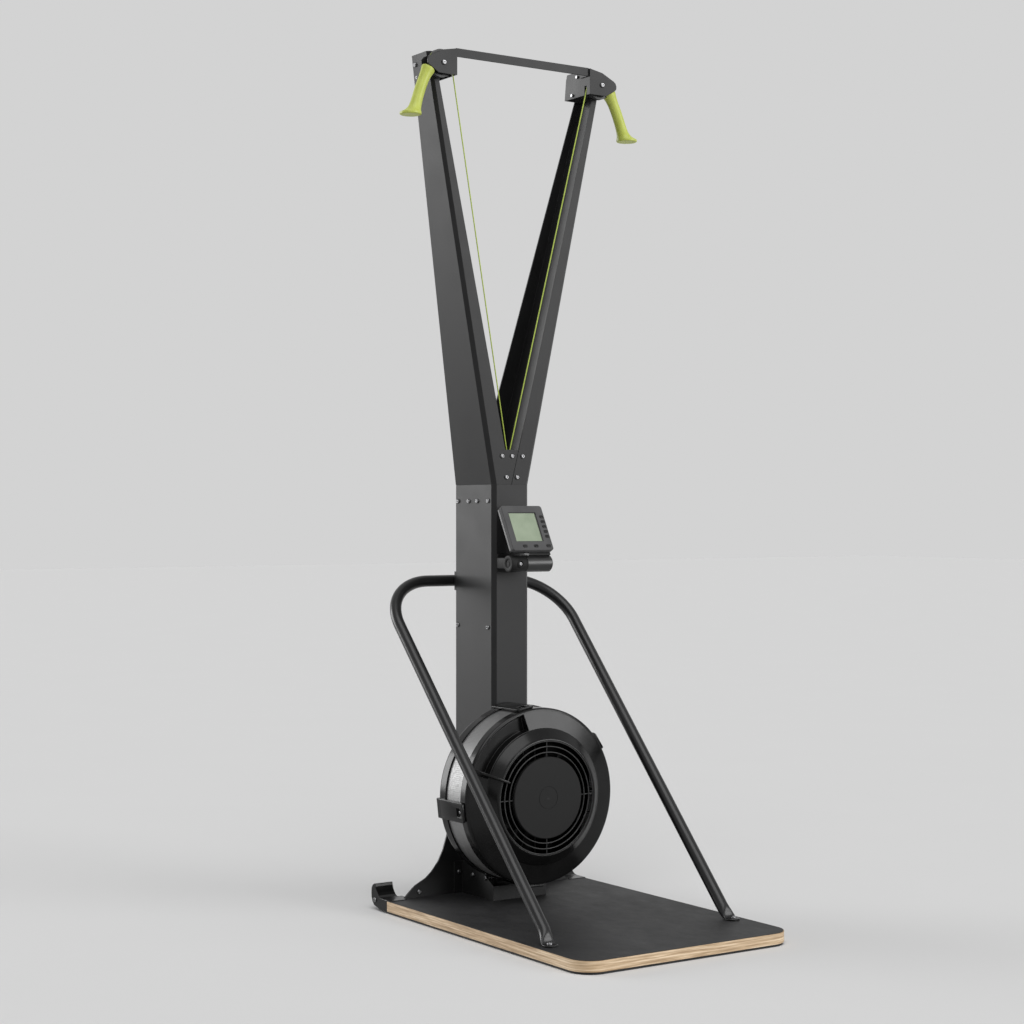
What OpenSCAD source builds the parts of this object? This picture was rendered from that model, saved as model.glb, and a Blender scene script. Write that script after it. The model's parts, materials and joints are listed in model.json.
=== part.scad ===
// Standing ski trainer: deck, folded column, two tapered arms, fan brake, monitor.
// Millimetres, +Z up, -Y towards the user. Heights inside the modules are counted
// from the deck's top face, and place() moves them to the shared frame.

/* [Deck] */
// Width of the deck
deck_w = 600; // [560:5:680]
// Length of the deck
deck_l = 830; // [800:5:900]
// Thickness of the plywood
ply_t = 24.5; // [18:0.5:30]
// Radius of the deck's two front corners
deck_r = 55; // [30:1:80]

/* [Column and arms] */
// Width of the column
col_w = 109.4; // [104:0.2:120]
// Height of the column's top seam over the deck
col_h = 1035; // [1000:5:1080]
// Thickness of the folded sheet
sheet_t = 3; // [2.5:0.1:3.2]
// Height of the arms' top edge over the deck
arm_top = 2091; // [2060:1:2120]
// Half the distance over the arms' outer faces at the top
arm_half = 265; // [258:1:272]

/* [Rope drive] */
// Diameter of the two ropes
rope_d = 3; // [2.6:0.1:3.4]
// Rope line radius on the top pulleys
pulley_r = 32.2; // [31:0.1:33]
// Rope line radius on the drive drums
drum_r = 28; // [24:0.5:30]

/* [Handles] */
// Radius of the grip
grip_r = 13.5; // [12:0.1:15]
// Radius of the handle's foot disc
disc_r = 26.5; // [24:0.5:30]

/* [Fan] */
// Radius of the fan housing
fan_r = 218; // [212:1:222]
// Clear height between the deck and the fan housing
fan_lift = 46.5; // [44:0.5:54]
// Number of blades on the fan wheel
blade_n = 20; // [12:1:24]
// Radius of the middle cap
cap_r = 100.3; // [92:0.1:104]

/* [Brace] */
// Diameter of the brace tube
brace_d = 29; // [25:0.5:32]
// Half the width between the brace's corners
brace_half = 268; // [255:1:280]
// Radius of the brace's two bends
bend_r = 142; // [110:1:150]

/* [Monitor] */
// Width of the monitor
mon_w = 122; // [118:1:130]
// Height of the monitor's face
mon_h = 125; // [122:1:132]
// Thickness of the monitor
mon_t = 26; // [22:0.5:28]

/* [Node] */
// Which sub-part to draw

/* [Hidden] */

// Named clearances
fit = 0.05;
gap = 0.3;
seam = 1.2;

// Colours
c_steel = [0.13, 0.13, 0.14];
c_plastic = [0.09, 0.09, 0.1];
c_bright = [0.75, 0.75, 0.77];
c_lime = [0.76, 0.82, 0.36];

// Deck stack
lam_t = 1;
mat_t = 6;
deck_top = ply_t + lam_t + mat_t;
y_rear = 4;
y_front = y_rear - deck_l;

// Column
hw = col_w / 2;
ws = sheet_t;
yf = -104;
yr = 72;
back_t = 2;
bev = 10;
bk = 0.4142;
fan_z = fan_r + fan_lift;
ax_z = fan_z;

// Arms: how each face runs from the seam to the top edge
arm_h = arm_top - col_h;
yf_top = yf - 0.0261 * arm_h;
yr_top = yr - 0.1221 * arm_h;
xi0 = 0.25;
xr0 = 1.2;
xi_top = arm_half - 18.4;
xr_top = arm_half - 38.5;
function mix(a, b, z) = a + (b - a) * (z - col_h) / arm_h;
function a_xo(z) = mix(hw, arm_half, z);
function a_yf(z) = mix(yf, yf_top, z);
function a_yr(z) = mix(yr, yr_top, z);
function a_xi(z) = mix(xi0, xi_top, z);
function a_xr(z) = mix(xr0, xr_top, z);
v_z = col_h + 88;

// Top pulleys and brackets
pb_x = 238.7 + (arm_half - 265);
pb_z = arm_top - 31.5;
pb_y = -147;
br_f = -164.5;
br_b = pb_y + 15;
br_t = 3;
wall_x = pb_x - pulley_r - 6.2;
bar_z = arm_top - 12;

// Guide pulleys under the V
gp_r = 11;
gp_x = gp_r + rope_d / 2 + 1.1;
gp_y = -88;
gp_z = v_z - 12;

// Drums
dr_y = [-84, -46];

// Rope line on one side, in the X-Z plane: angle from the vertical
tx = pb_x - gp_x;
tz = pb_z - gp_z;
rope_a = atan2(tx, tz) - asin((pulley_r - gp_r) / sqrt(tx * tx + tz * tz));

// Brace plane
br_y = yr + 24.5;
br_z = 789;
foot_y = -632;
foot_z = 14;
brace_a = atan2(br_y - foot_y, br_z - foot_z);
brace_s = sqrt(pow(br_y - foot_y, 2) + pow(br_z - foot_z, 2));
clamp_back = br_y + brace_d / 2 + 3;
cl_x = 46;

// Whole part in the shared frame
y_mid = -(y_front + clamp_back) / 2;

// Fan profile, counted forwards from the axle's zero
f_back = 108;
f_band = 141;
f_front = 206;
f_rim = 230;
f_lip = 263;
lip_r = fan_r - 77;
ring_r = fan_r - 50;
rec_r = fan_r - 7;
rec_z = 219;
sec_a = 104;
sec_b = 161;
lever_a = 158.5;
clip_a = [34, 100, 186.5, 268];

// Monitor
mt = 28.2;
hg_y = -180;
hg_z = 838;
hg_r = 21;
mv = 18.3;
mf = 37.5;

// Rear corner shoes and their rollers
sh_x1 = deck_w / 2;
sh_x0 = sh_x1 - 50;
rl_y = 62.5;
rl_z = -6;
rl_r = 17;

// Bolt rows: [y, z] on the column's and arms' side faces
row_z = col_h - 41;
low_z = col_h - 359;
side_bolts = [[60, row_z], [10, row_z], [-30, row_z], [-80, row_z], [62, low_z], [-79, low_z]];
top_z = v_z - 16;
arm_row_z = col_h + 19;
front_bolts = [[-30, top_z], [0, top_z], [32, top_z], [-16, arm_row_z], [16, arm_row_z]];
foot_bolts = [[-49, 52], [-108.5, 52]];
web_bolts = [arm_top - 23, arm_top - 53];

module place() {
  translate([0, y_mid, deck_top])
  children();
}

// Straight loft between two level outlines with the same number of corners
module loft(a, za, b, zb) {
  n = len(a);
  low = [for (p = a) [p[0], p[1], za]];
  top = [for (p = b) [p[0], p[1], zb]];
  side = [for (i = [0 : n - 1]) [i, n + i, n + (i + 1) % n, (i + 1) % n]];
  ends = [[for (i = [0 : n - 1]) i], [for (i = [n - 1 : -1 : 0]) n + i]];
  polyhedron(points = concat(low, top), faces = concat(ends, side), convexity = 6);
}

function rect(x0, x1, y0, y1) = [[x0, y0], [x1, y0], [x1, y1], [x0, y1]];

module box(x0, x1, y0, y1, z0, z1) {
  translate([x0, y0, z0])
  cube([x1 - x0, y1 - y0, z1 - z0]);
}

// Cylinder along X, Y or Z from a start point
module rod_x(x, y, z, r, l, f = 24) {
  translate([x, y, z])
  rotate([0, 90, 0])
  cylinder(r = r, h = l, $fn = f);
}

module rod_y(x, y, z, r, l, f = 24) {
  translate([x, y, z])
  rotate([-90, 0, 0])
  cylinder(r = r, h = l, $fn = f);
}

// Round bar between two points
module bar(p, q, r, f = 16) {
  d = q - p;
  l = norm(d);
  translate(p)
  rotate([0, acos(d[2] / l), atan2(d[1], d[0])])
  cylinder(r = r, h = l, $fn = f);
}

// Button-head bolt: flange, low dome, shank going along +Z from the head's seat
module bolt(r, hr, hh, l) {
  difference() {
    rotate_extrude($fn = 24)
    polygon([[0, -hh], [hr * 0.62, -hh], [hr * 0.9, -hh * 0.68], [hr, -hh * 0.3], [hr, 0], [r, 0],
      [r, l], [0, l]]);
    translate([0, 0, -hh - 1])
    linear_extrude(height = 1 + hh * 0.6)
    polygon([for (a = [0 : 60 : 300]) [r * 0.62 * cos(a), r * 0.62 * sin(a)]]);
  }
}

// Deck
module deck_plan(e, t) {
  w = deck_w / 2 - e;
  r = deck_r - e;
  y0 = y_front + e;
  linear_extrude(height = t)
  union() {
    translate([-w, y0 + r])
    square([2 * w, y_rear - y0 - r]);
    translate([-w + r, y0])
    square([2 * (w - r), r + 1]);
    for (s = [-1, 1])
      translate([s * (w - r), y0 + r])
      circle(r = r, $fn = 64);
  }
}

module deck_board() {
  color([0.82, 0.71, 0.56])
  place()
  translate([0, 0, -lam_t - ply_t])
  deck_plan(0, ply_t);
}

module deck_laminate() {
  color([0.1, 0.1, 0.11])
  place()
  translate([0, 0, -lam_t])
  deck_plan(1.5, lam_t);
}

module deck_underlay() {
  color([0.05, 0.05, 0.05])
  place()
  translate([0, 0, -deck_top])
  deck_plan(4, mat_t);
}

// Base
module foot_bracket() {
  front = fan_lift - 10.5;
  wt = [[-142, 0], [1, 0], [1, 80], [-100, 80], [-106, 57], [-142, front]];
  color(c_steel)
  place()
  difference() {
    union() {
      for (s = [-1, 1])
        translate([s * 80 - (s > 0 ? ws : 0), 0, 0])
        rotate([90, 0, 90])
        linear_extrude(height = ws)
        polygon(wt);
      box(-80, 80, -142, -142 + ws, 0, front);
      for (s = [-1, 1])
        box(s > 0 ? 77 : -104, s > 0 ? 104 : -77, 1, 1 + ws, 0, 80);
    }
    for (p = foot_bolts)
      rod_x(-90, p[0], p[1], 4 + fit, 180);
    for (s = [-1, 1])
      rod_y(s * 90, -5, 54, 4 + fit, 20);
  }
}

module column_foot() {
  color(c_steel)
  place()
  difference() {
    union() {
      box(-77 + gap, 77 - gap, -139 + gap, -107, 0, 8);
      for (s = [-1, 1]) {
        box(s > 0 ? hw + gap : -77 + gap, s > 0 ? 77 - gap : -hw - gap, -108, 0, 0, 8);
        for (p = foot_bolts)
          box(s > 0 ? hw + gap : -77 + gap, s > 0 ? 77 - gap : -hw - gap,
            max(p[0] - 9, -107), p[0] + 9, 0, 57);
      }
    }
    for (p = foot_bolts)
      rod_x(-90, p[0], p[1], 4 + fit, 180);
  }
}

gus = [[sh_x0 - gap, 0], [219, 30], [187, 46], [170, 60.5], [150.5, 84], [136, 112], [125.5, 144.6],
  [112, 195], [98, 262], [88, 300]];

module rear_gusset() {
  outline = concat([[hw + 0.2, -22], [sh_x0 - gap, -22]], gus, [[hw + 0.2, 300]]);
  color(c_steel)
  place()
  difference() {
    for (m = [0, 1])
      mirror([m, 0, 0])
      translate([0, 8, 0])
      rotate([90, 0, 0])
      linear_extrude(height = 4)
      polygon(outline);
    for (s = [-1, 1]) {
      rod_y(s * 90, 0, 54, 4 + fit, 20);
      rod_y(s * 207, 0, 14, 4 + fit, 20);
    }
  }
}

// Rear corner shoe: a moulded heel with a roller in its lower rear corner

module shoe() {
  heel = [[y_rear + 0.2, -27], [40, -27], [50, -23], [68, -19], [76, -11], [80.5, 0], [81.2, 12],
    [80, 23], [75, 30], [67, 34.5], [62, 34.8], [61, 27.5], [58, 19.5], [53, 12.6], [47, 7], [40, 3],
    [30, 1.6], [-8, 1.6], [-8, 0], [y_rear + 0.2, 0]];
  w = sh_x1 - sh_x0;
  difference() {
    union() {
      translate([sh_x0, 0, 0])
      rotate([90, 0, 90])
      linear_extrude(height = w)
      polygon(heel);
      translate([0, 12, 0])
      rotate([90, 0, 0])
      linear_extrude(height = 4)
      polygon([[192, -2], [sh_x0 + 1, -2], [sh_x0 - 1, 0], [222, 25], [192, 26]]);
      box(236, sh_x0 + 1, 8, 40, -22, 1.6);
    }
    rod_x(sh_x0 + 7, rl_y, rl_z, rl_r + 1.5, w - 14, 48);
    box(sh_x0 + 7, sh_x1 - 7, rl_y, rl_y + 40, -40, rl_z + 11);
    box(sh_x0 + 7, sh_x1 - 7, rl_y - rl_r - 1.5, rl_y + 1, -40, rl_z);
    rod_x(sh_x0 - 5, rl_y, rl_z, 4, w + 10);
    rod_y(207, 0, 14, 4 + fit, 20);
  }
}

module wheel_shoe_left() {
  color(c_plastic)
  place()
  mirror([1, 0, 0])
  shoe();
}

module wheel_shoe_right() {
  color(c_plastic)
  place()
  shoe();
}

module roller() {
  rotate([0, 90, 0])
  rotate_extrude($fn = 40)
  polygon([[4, -13], [8, -13], [8, -12], [15.5, -12], [rl_r, -10.5], [rl_r, 10.5], [15.5, 12],
    [8, 12], [8, 13], [4, 13]]);
}

module transport_wheel_left() {
  color([0.07, 0.07, 0.07])
  place()
  translate([-(sh_x0 + sh_x1) / 2, rl_y, rl_z])
  roller();
}

module transport_wheel_right() {
  color([0.07, 0.07, 0.07])
  place()
  translate([(sh_x0 + sh_x1) / 2, rl_y, rl_z])
  roller();
}

// Axle bolts: head outside, shank through both cheeks and the roller
module wheel_axles() {
  color(c_bright)
  place()
  for (m = [0, 1])
    mirror([m, 0, 0])
    translate([sh_x1, rl_y, rl_z])
    rotate([0, -90, 0])
    bolt(4 - fit, 6, 4, sh_x1 - sh_x0);
}

// Column
module col_plan() {
  r = yr - back_t;
  difference() {
    polygon([[-hw, r], [-hw, yf + bev], [-hw + bev, yf], [hw - bev, yf], [hw, yf + bev], [hw, r]]);
    polygon([[-hw + ws, r - ws], [-hw + ws, yf + bev + bk * ws], [-hw + bev + bk * ws, yf + ws],
      [hw - bev - bk * ws, yf + ws], [hw - ws, yf + bev + bk * ws], [hw - ws, r - ws]]);
    translate([-hw + 15, r - ws - 1])
    square([2 * hw - 30, ws + 2]);
  }
}

back_z = [60, 330, 600, 870];

module column() {
  color(c_steel)
  place()
  difference() {
    union() {
      linear_extrude(height = col_h)
      col_plan();
      translate([0, 0, -22])
      linear_extrude(height = 22.5)
      intersection() {
        col_plan();
        translate([-hw, y_rear + gap])
        square([2 * hw, 100]);
      }
    }
    rod_y(0, yf - 5, ax_z, 22 + gap, 20, 40);
    for (p = side_bolts)
      rod_x(-hw - 5, p[0], p[1], 4 + fit, 2 * hw + 10, 16);
    for (s = [-1, 1]) {
      for (z = back_z)
        rod_y(s * (hw - 8), yr - 15, z, 2.5 + fit, 20, 16);
      for (d = [-17, 17])
        rod_y(s * cl_x, yr - 15, br_z + d, 3 + fit, 20, 16);
    }
    for (d = [-12, 12])
      rod_y(0, yf - 5, hg_z + d, 3 + fit, 20, 16);
  }
}

module column_back() {
  color(c_steel)
  place()
  difference() {
    box(-hw + 0.6, hw - 0.6, yr - back_t, yr, -22, col_h - 2);
    for (s = [-1, 1]) {
      for (z = back_z)
        rod_y(s * (hw - 8), yr - 15, z, 2.5 + fit, 20, 16);
      for (d = [-17, 17])
        rod_y(s * cl_x, yr - 15, br_z + d, 3 + fit, 20, 16);
    }
  }
}

// Arms
far = 400;
function a_bev(z) = a_xo(z) - mix(bev, 7.5, z) - a_yf(z);

// Straight tapers between the heights za and zb, as seen from the front, from the side,
// and along the bevel, where x - y is at most a at za and b at zb
module taper(a, b, za, zb) {
  linear_extrude(height = 3 * far, center = true)
  polygon([[a[0], za], [a[1], za], [b[1], zb], [b[0], zb]]);
}

module front_view(a, b, za, zb) {
  rotate([90, 0, 0])
  taper(a, b, za, zb);
}

module side_view(a, b, za, zb) {
  rotate([90, 0, 90])
  taper(a, b, za, zb);
}

module bevel_view(a, b, za, zb) {
  rotate([0, 0, -45])
  front_view([-3 * far, a / sqrt(2)], [-3 * far, b / sqrt(2)], za, zb);
}

web_tilt = atan2(arm_half - hw, arm_h);

module on_web(y, z) {
  translate([a_xo(z), y, z])
  rotate([0, -(90 - web_tilt), 0])
  children();
}

module arm() {
  a = col_h;
  b = arm_top;
  c = a - 5;
  d = b + 5;
  difference() {
    intersection() {
      front_view([a_xi(a), a_xo(a)], [a_xi(b), a_xo(b)], a, b);
      side_view([a_yf(c), a_yr(c)], [a_yf(d), a_yr(d)], c, d);
      bevel_view(a_bev(c), a_bev(d), c, d);
    }
    intersection() {
      front_view([-far, a_xo(c) - ws], [-far, a_xo(d) - ws], c, d);
      side_view([a_yf(c) + ws, a_yr(c) - ws], [a_yf(d) + ws, a_yr(d) - ws], c, d);
      bevel_view(a_bev(c) - (1 + bk) * ws, a_bev(d) - (1 + bk) * ws, c, d);
    }
    intersection() {
      front_view([-far, a_xr(c)], [-far, a_xr(d)], c, d);
      side_view([a_yf(c) + ws, far], [a_yf(d) + ws, far], c, d);
    }
    for (p = front_bolts)
      rod_y(p[0], a_yf(p[1]) - 5, p[1], 4 + fit, 12, 16);
    for (z = web_bolts)
      on_web(-67, z)
      translate([0, 0, -5])
      cylinder(r = 4 + fit, h = 12, $fn = 16);
  }
}

module arm_right() {
  color(c_steel)
  place()
  arm();
}

// The left arm carries the front plate that closes the foot of the V
module arm_left() {
  z1 = v_z;
  color(c_steel)
  place()
  difference() {
    union() {
      mirror([1, 0, 0])
      arm();
      intersection() {
        front_view([-xi0 - 3, xi0 - seam], [-a_xi(z1) - 3, a_xi(z1) - seam], col_h, z1);
        side_view([yf, yf + ws], [a_yf(z1), a_yf(z1) + ws], col_h, z1);
      }
    }
    for (p = front_bolts)
      rod_y(p[0], a_yf(p[1]) - 5, p[1], 4 + fit, 12, 16);
  }
}

// Inner sleeve: three-sided in the column, two cheeks and a front plate in the arms
module splice_sleeve() {
  e = hw - ws - gap;
  f = yf + ws + gap;
  c = bev + (1 - bk) * -ws - gap;
  tip = atan2(yf - yf_top, arm_h);
  lip = a_yr(col_h + 75) - ws - 1;
  color(c_steel)
  place()
  difference() {
    union() {
      translate([0, 0, col_h - 61])
      linear_extrude(height = 66)
      polygon([[-e, 64], [-e, f + c], [-e + c, f], [e - c, f], [e, f + c], [e, 64], [e - 3, 64],
        [e - 3, f + c + 1.25], [e - c - 1.25, f + 3], [-e + c + 1.25, f + 3], [-e + 3, f + c + 1.25],
        [-e + 3, 64]]);
      for (s = [-1, 1])
        box(s > 0 ? e - 3 : -e, s > 0 ? e : -e + 3, f + c + 1, lip, col_h, col_h + 75);
      translate([-40, yf + ws + 0.05, col_h])
      rotate([tip, 0, 0])
      translate([0, 0, 2])
      cube([80, 3, 82]);
    }
    for (p = side_bolts)
      rod_x(-hw - 5, p[0], p[1], 4 + fit, 2 * hw + 10, 16);
    for (p = front_bolts)
      rod_y(p[0], a_yf(p[1]) - 5, p[1], 4 + fit, 20, 16);
    for (s = [-1, 1])
      rod_y(s * gp_x, yf - 5, gp_z, 3 + fit, 20, 16);
  }
}

bar_y = -160;

module crossbar() {
  x = wall_x - gap;
  color(c_steel)
  place()
  difference() {
    union() {
      box(-x, x, bar_y, bar_y + 4, bar_z, bar_z + 20.5);
      for (s = [-1, 1])
        box(s > 0 ? x - 3 : -x, s > 0 ? x : -x + 3, bar_y, bar_y + 34, bar_z, bar_z + 19);
    }
    for (s = [-1, 1])
      rod_x(s * x - 10, -142, pb_z + 29.5, 4 + fit, 20, 16);
  }
}

// Pulley brackets and pulleys
wall_bolts = [[-142, 29.5], [-110, 25.5], [-88, -18.5]];

module cheek() {
  w = wall_x - pb_x;
  pts = [[w, -26.5], [13.3, -26.5], [43, -8.7], [45.2, -6], [46, -2], [45.8, 2.5], [43.3, 8.5],
    [38.3, 13], [1.3, 31], [w, 38.5]];
  translate([pb_x, 3, pb_z])
  rotate([90, 0, 0])
  linear_extrude(height = 3)
  polygon(pts);
}

module pulley_bracket() {
  z0 = pb_z - 26.5;
  z1 = arm_top - 3;
  i0 = a_yr(z0) - ws - gap;
  i1 = a_yr(z1) - ws - gap;
  w0 = a_xo(z0) - ws - gap;
  w1 = a_xo(z1) - ws - gap;
  difference() {
    union() {
      translate([0, br_f, 0])
      cheek();
      translate([0, br_b - 3, 0])
      cheek();
      translate([wall_x, 0, 0])
      rotate([90, 0, 90])
      linear_extrude(height = br_t)
      polygon([[br_f, z0], [i0 - 1, z0], [i1 - 1, z1], [i1 - 4, pb_z + 38.5], [br_f, pb_z + 38.5]]);
      loft(rect(wall_x, w0, i0 - 3, i0), z0, rect(wall_x, w1, i1 - 3, i1), z1);
      loft(rect(w0 - 3, w0, i0 - 34, i0), z0, rect(w1 - 3, w1, i1 - 34, i1), z1);
    }
    rod_y(pb_x, br_f - 5, pb_z, 4 + fit, 40, 20);
    box(wall_x - 1, wall_x + br_t + 1, pb_y - 3, pb_y + 6, z0 - 1, pb_z - 3);
    for (p = wall_bolts)
      rod_x(wall_x - 5, p[0], pb_z + p[1], 4 + fit, 12, 16);
    for (z = web_bolts)
      on_web(-67, z)
      translate([0, 0, -5])
      cylinder(r = 4 + fit, h = 16, $fn = 16);
  }
}

module pulley_bracket_left() {
  color(c_steel)
  place()
  mirror([1, 0, 0])
  pulley_bracket();
}

module pulley_bracket_right() {
  color(c_steel)
  place()
  pulley_bracket();
}

module top_pulley() {
  g = pulley_r - rope_d / 2 - gap;
  e = pulley_r + 2.3;
  rotate([90, 0, 0])
  rotate_extrude($fn = 48)
  polygon([[4 + fit, -6], [9, -6], [9, -4], [g - 5, -3], [g - 2, -5.5], [e, -5.5], [e, -4.2],
    [g, -2.2], [g, 2.2], [e, 4.2], [e, 5.5], [g - 2, 5.5], [g - 5, 3], [9, 4], [9, 6],
    [4 + fit, 6]]);
}

module top_pulley_left() {
  color(c_plastic)
  place()
  translate([-pb_x, pb_y, pb_z])
  top_pulley();
}

module top_pulley_right() {
  color(c_plastic)
  place()
  translate([pb_x, pb_y, pb_z])
  top_pulley();
}

module guide_pulley() {
  g = gp_r - rope_d / 2 - gap;
  rotate([90, 0, 0])
  rotate_extrude($fn = 32)
  polygon([[3 + fit, -4], [gp_r + 1.8, -4], [gp_r + 1.8, -3.6], [g, -2.1], [g, 2.1],
    [gp_r + 1.8, 3.6], [gp_r + 1.8, 4], [3 + fit, 4]]);
}

module guide_pulley_left() {
  color(c_plastic)
  place()
  translate([-gp_x, gp_y, gp_z])
  guide_pulley();
}

module guide_pulley_right() {
  color(c_plastic)
  place()
  translate([gp_x, gp_y, gp_z])
  guide_pulley();
}

// Two clevis pins at the top, with shoulders, and two guide studs under the V
module pulley_pins() {
  y0 = a_yf(gp_z) + ws + 0.2;
  color(c_bright)
  place()
  for (m = [0, 1])
    mirror([m, 0, 0]) {
      translate([pb_x, br_f, pb_z])
      rotate([-90, 0, 0])
      bolt(4, 6.5, 4.5, br_b - br_f);
      rod_y(pb_x, br_f + 3, pb_z, 7, pb_y - 6 - gap - br_f - 3, 24);
      rod_y(pb_x, pb_y + 6 + gap, pb_z, 7, br_b - 3 - pb_y - 6 - gap, 24);
      rod_y(gp_x, y0, gp_z, 3, gp_y + 8 - y0, 16);
      rod_y(gp_x, y0 + 3, gp_z, 4.6, gp_y - 4 - gap - y0 - 3, 16);
      rod_y(gp_x, gp_y + 4 + gap, gp_z, 4.6, 3, 16);
    }
}

// Ropes
// s is the side; both ropes come down to the same side of the drive drums
module rope(s, k) {
  r = rope_d / 2;
  y = dr_y[k];
  g = [s * (gp_x - gp_r), gp_y, gp_z + gp_r * tan(rope_a / 2)];
  t = [s * (pb_x - pulley_r * cos(rope_a)), pb_y, pb_z + pulley_r * sin(rope_a)];
  bar([drum_r, y, ax_z], g, r, 12);
  translate(g)
  sphere(r = r, $fn = 12);
  bar(g, t, r, 12);
  translate(t)
  sphere(r = r, $fn = 12);
  translate([s * pb_x, pb_y, pb_z])
  mirror([s > 0 ? 0 : 1, 0, 0])
  rotate([90, 0, 0])
  rotate_extrude(angle = 180 - rope_a, $fn = 64)
  translate([pulley_r, 0])
  circle(r = r, $fn = 12);
  translate([0, y, ax_z])
  rotate([90, 0, 0])
  rotate_extrude($fn = 40)
  translate([drum_r - r, -4.2])
  square([2 * r, 8.4]);
}

module rope_left() {
  color(c_lime)
  place()
  rope(-1, 0);
}

module rope_right() {
  color(c_lime)
  place()
  rope(1, 1);
}

lead_x = pb_x + pulley_r;
lead_z = pb_z - 32;

module rope_leader_left() {
  color(c_lime)
  place()
  translate([-lead_x, pb_y, lead_z])
  cylinder(r = rope_d / 2, h = pb_z - lead_z, $fn = 12);
}

module rope_leader_right() {
  color(c_lime)
  place()
  translate([lead_x, pb_y, lead_z])
  cylinder(r = rope_d / 2, h = pb_z - lead_z, $fn = 12);
}

// Handles
// A bent grip: each ring is tilted a little less than the one above, down to a level disc
h_len = 123;
h_n = 22;
h_f = 28;
h_t = [0, 0.015, 0.05, 0.1, 0.16, 0.25, 0.4, 0.55, 0.68, 0.78, 0.85, 0.9, 0.94, 0.967, 0.985, 1];
h_top = [3.4, 3.9, 3.4, 2, 0.9, 0.1, 0, 0, 0, 0, 0, 0, 0, 0, 0, 0];
h_foot = [0, 0, 0, 0, 0, 0, 0, 0.004, 0.017, 0.055, 0.128, 0.255, 0.447, 0.672, 0.885, 1];
h_out = 10.5;

function h_ang(t) = 29.5 - 17.5 * t;
function h_pos(t) = [
  (cos(h_ang(t)) - cos(29.5)) * h_len / (17.5 * PI / 180),
  -(sin(29.5) - sin(h_ang(t))) * h_len / (17.5 * PI / 180)];

function h_ring(i) = let (t = h_t[i], c = h_pos(t), b = 29.5 * (1 - pow(t, 1.5)), y = -6 * t,
    r = grip_r + h_top[i] + h_foot[i] * (disc_r - grip_r), x = c[0] + h_foot[i] * h_out)
  [for (k = [0 : h_f - 1]) let (a = 360 * k / h_f)
    [x + r * cos(a) * cos(b), y + r * sin(a), c[1] + r * cos(a) * sin(b)]];

module grip_body() {
  m = len(h_t);
  rings = [for (i = [0 : m - 1]) each h_ring(i)];
  base = [for (p = h_ring(m - 1)) [p[0], p[1], p[2] - 4]];
  in_c = h_pos(1);
  cap = [for (k = [0 : h_f - 1]) let (a = 360 * k / h_f)
    [in_c[0] + h_out + (disc_r - 2) * cos(a), -6 + (disc_r - 2) * sin(a), in_c[1] - 5.5]];
  all = concat(rings, base, cap);
  q = m + 2;
  side = [for (i = [0 : q - 2]) for (k = [0 : h_f - 1]) let (j = (k + 1) % h_f)
    each [[i * h_f + k, (i + 1) * h_f + j, (i + 1) * h_f + k], [i * h_f + k, i * h_f + j, (i + 1) * h_f + j]]];
  ends = [[for (k = [h_f - 1 : -1 : 0]) k], [for (k = [0 : h_f - 1]) (q - 1) * h_f + k]];
  polyhedron(points = all, faces = concat(side, ends), convexity = 6);
}

h_x = lead_x + 1.4;
h_z = pb_z - 15.4;

module handle() {
  difference() {
    translate([h_x, pb_y, h_z])
    grip_body();
    rod_y(pb_x, pb_y - 7, pb_z, pulley_r + 3.2, 14, 64);
    translate([lead_x, pb_y, lead_z])
    cylinder(r = 3.2, h = 60, $fn = 16);
  }
}

module handle_left() {
  color(c_lime)
  place()
  mirror([1, 0, 0])
  handle();
}

module handle_right() {
  color(c_lime)
  place()
  handle();
}

// Brace: one half tube, bent once, squashed at its foot
module brace_half() {
  d = atan2(10.4, brace_s);
  b = 90 + d;
  r = brace_d / 2;
  xs = brace_half - bend_r * tan(b / 2);
  u = [-sin(d), 0, -cos(d)];
  e = [xs + bend_r * cos(d), 0, -bend_r - bend_r * sin(d)];
  n = brace_s - 60;
  q = [brace_half - n * tan(d), 0, -n];
  fx = brace_half - 2;
  translate([0, br_y, br_z])
  rotate([-brace_a, 0, 0]) {
    rod_x(0.2, 0, 0, r, xs - 0.2, 48);
    rod_x(xs - 6, 0, 0, r - 3, 12, 48);
    translate([xs, 0, -bend_r])
    rotate([90, 0, 0])
    rotate([0, 0, 90 - b])
    rotate_extrude(angle = b, $fn = 96)
    translate([bend_r, 0])
    circle(r = r, $fn = 48);
    bar(e + 0.03 * u, q + 3 * u, r, 48);
    bar(e - 6 * u, e + 6 * u, r - 3, 48);
  }
  difference() {
    union() {
      hull() {
        translate([0, br_y, br_z])
        rotate([-brace_a, 0, 0])
        translate(q)
        rotate([0, 180 + d, 0])
        cylinder(r = r + 0.6, h = 3, $fn = 32);
        box(fx - 23, fx + 15, foot_y - 8, foot_y + 22, 0, 6);
      }
      box(fx - 20, fx + 15, foot_y - 18, foot_y, 0, 5);
      translate([fx - 2.5, foot_y - 18, 0])
      cylinder(r = 17.5, h = 5, $fn = 48);
    }
    translate([fx, foot_y - 19, -5])
    cylinder(r = 4 + fit, h = 30, $fn = 16);
  }
}

module brace_left() {
  color(c_steel)
  place()
  mirror([1, 0, 0])
  brace_half();
}

module brace_right() {
  color(c_steel)
  place()
  brace_half();
}

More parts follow.
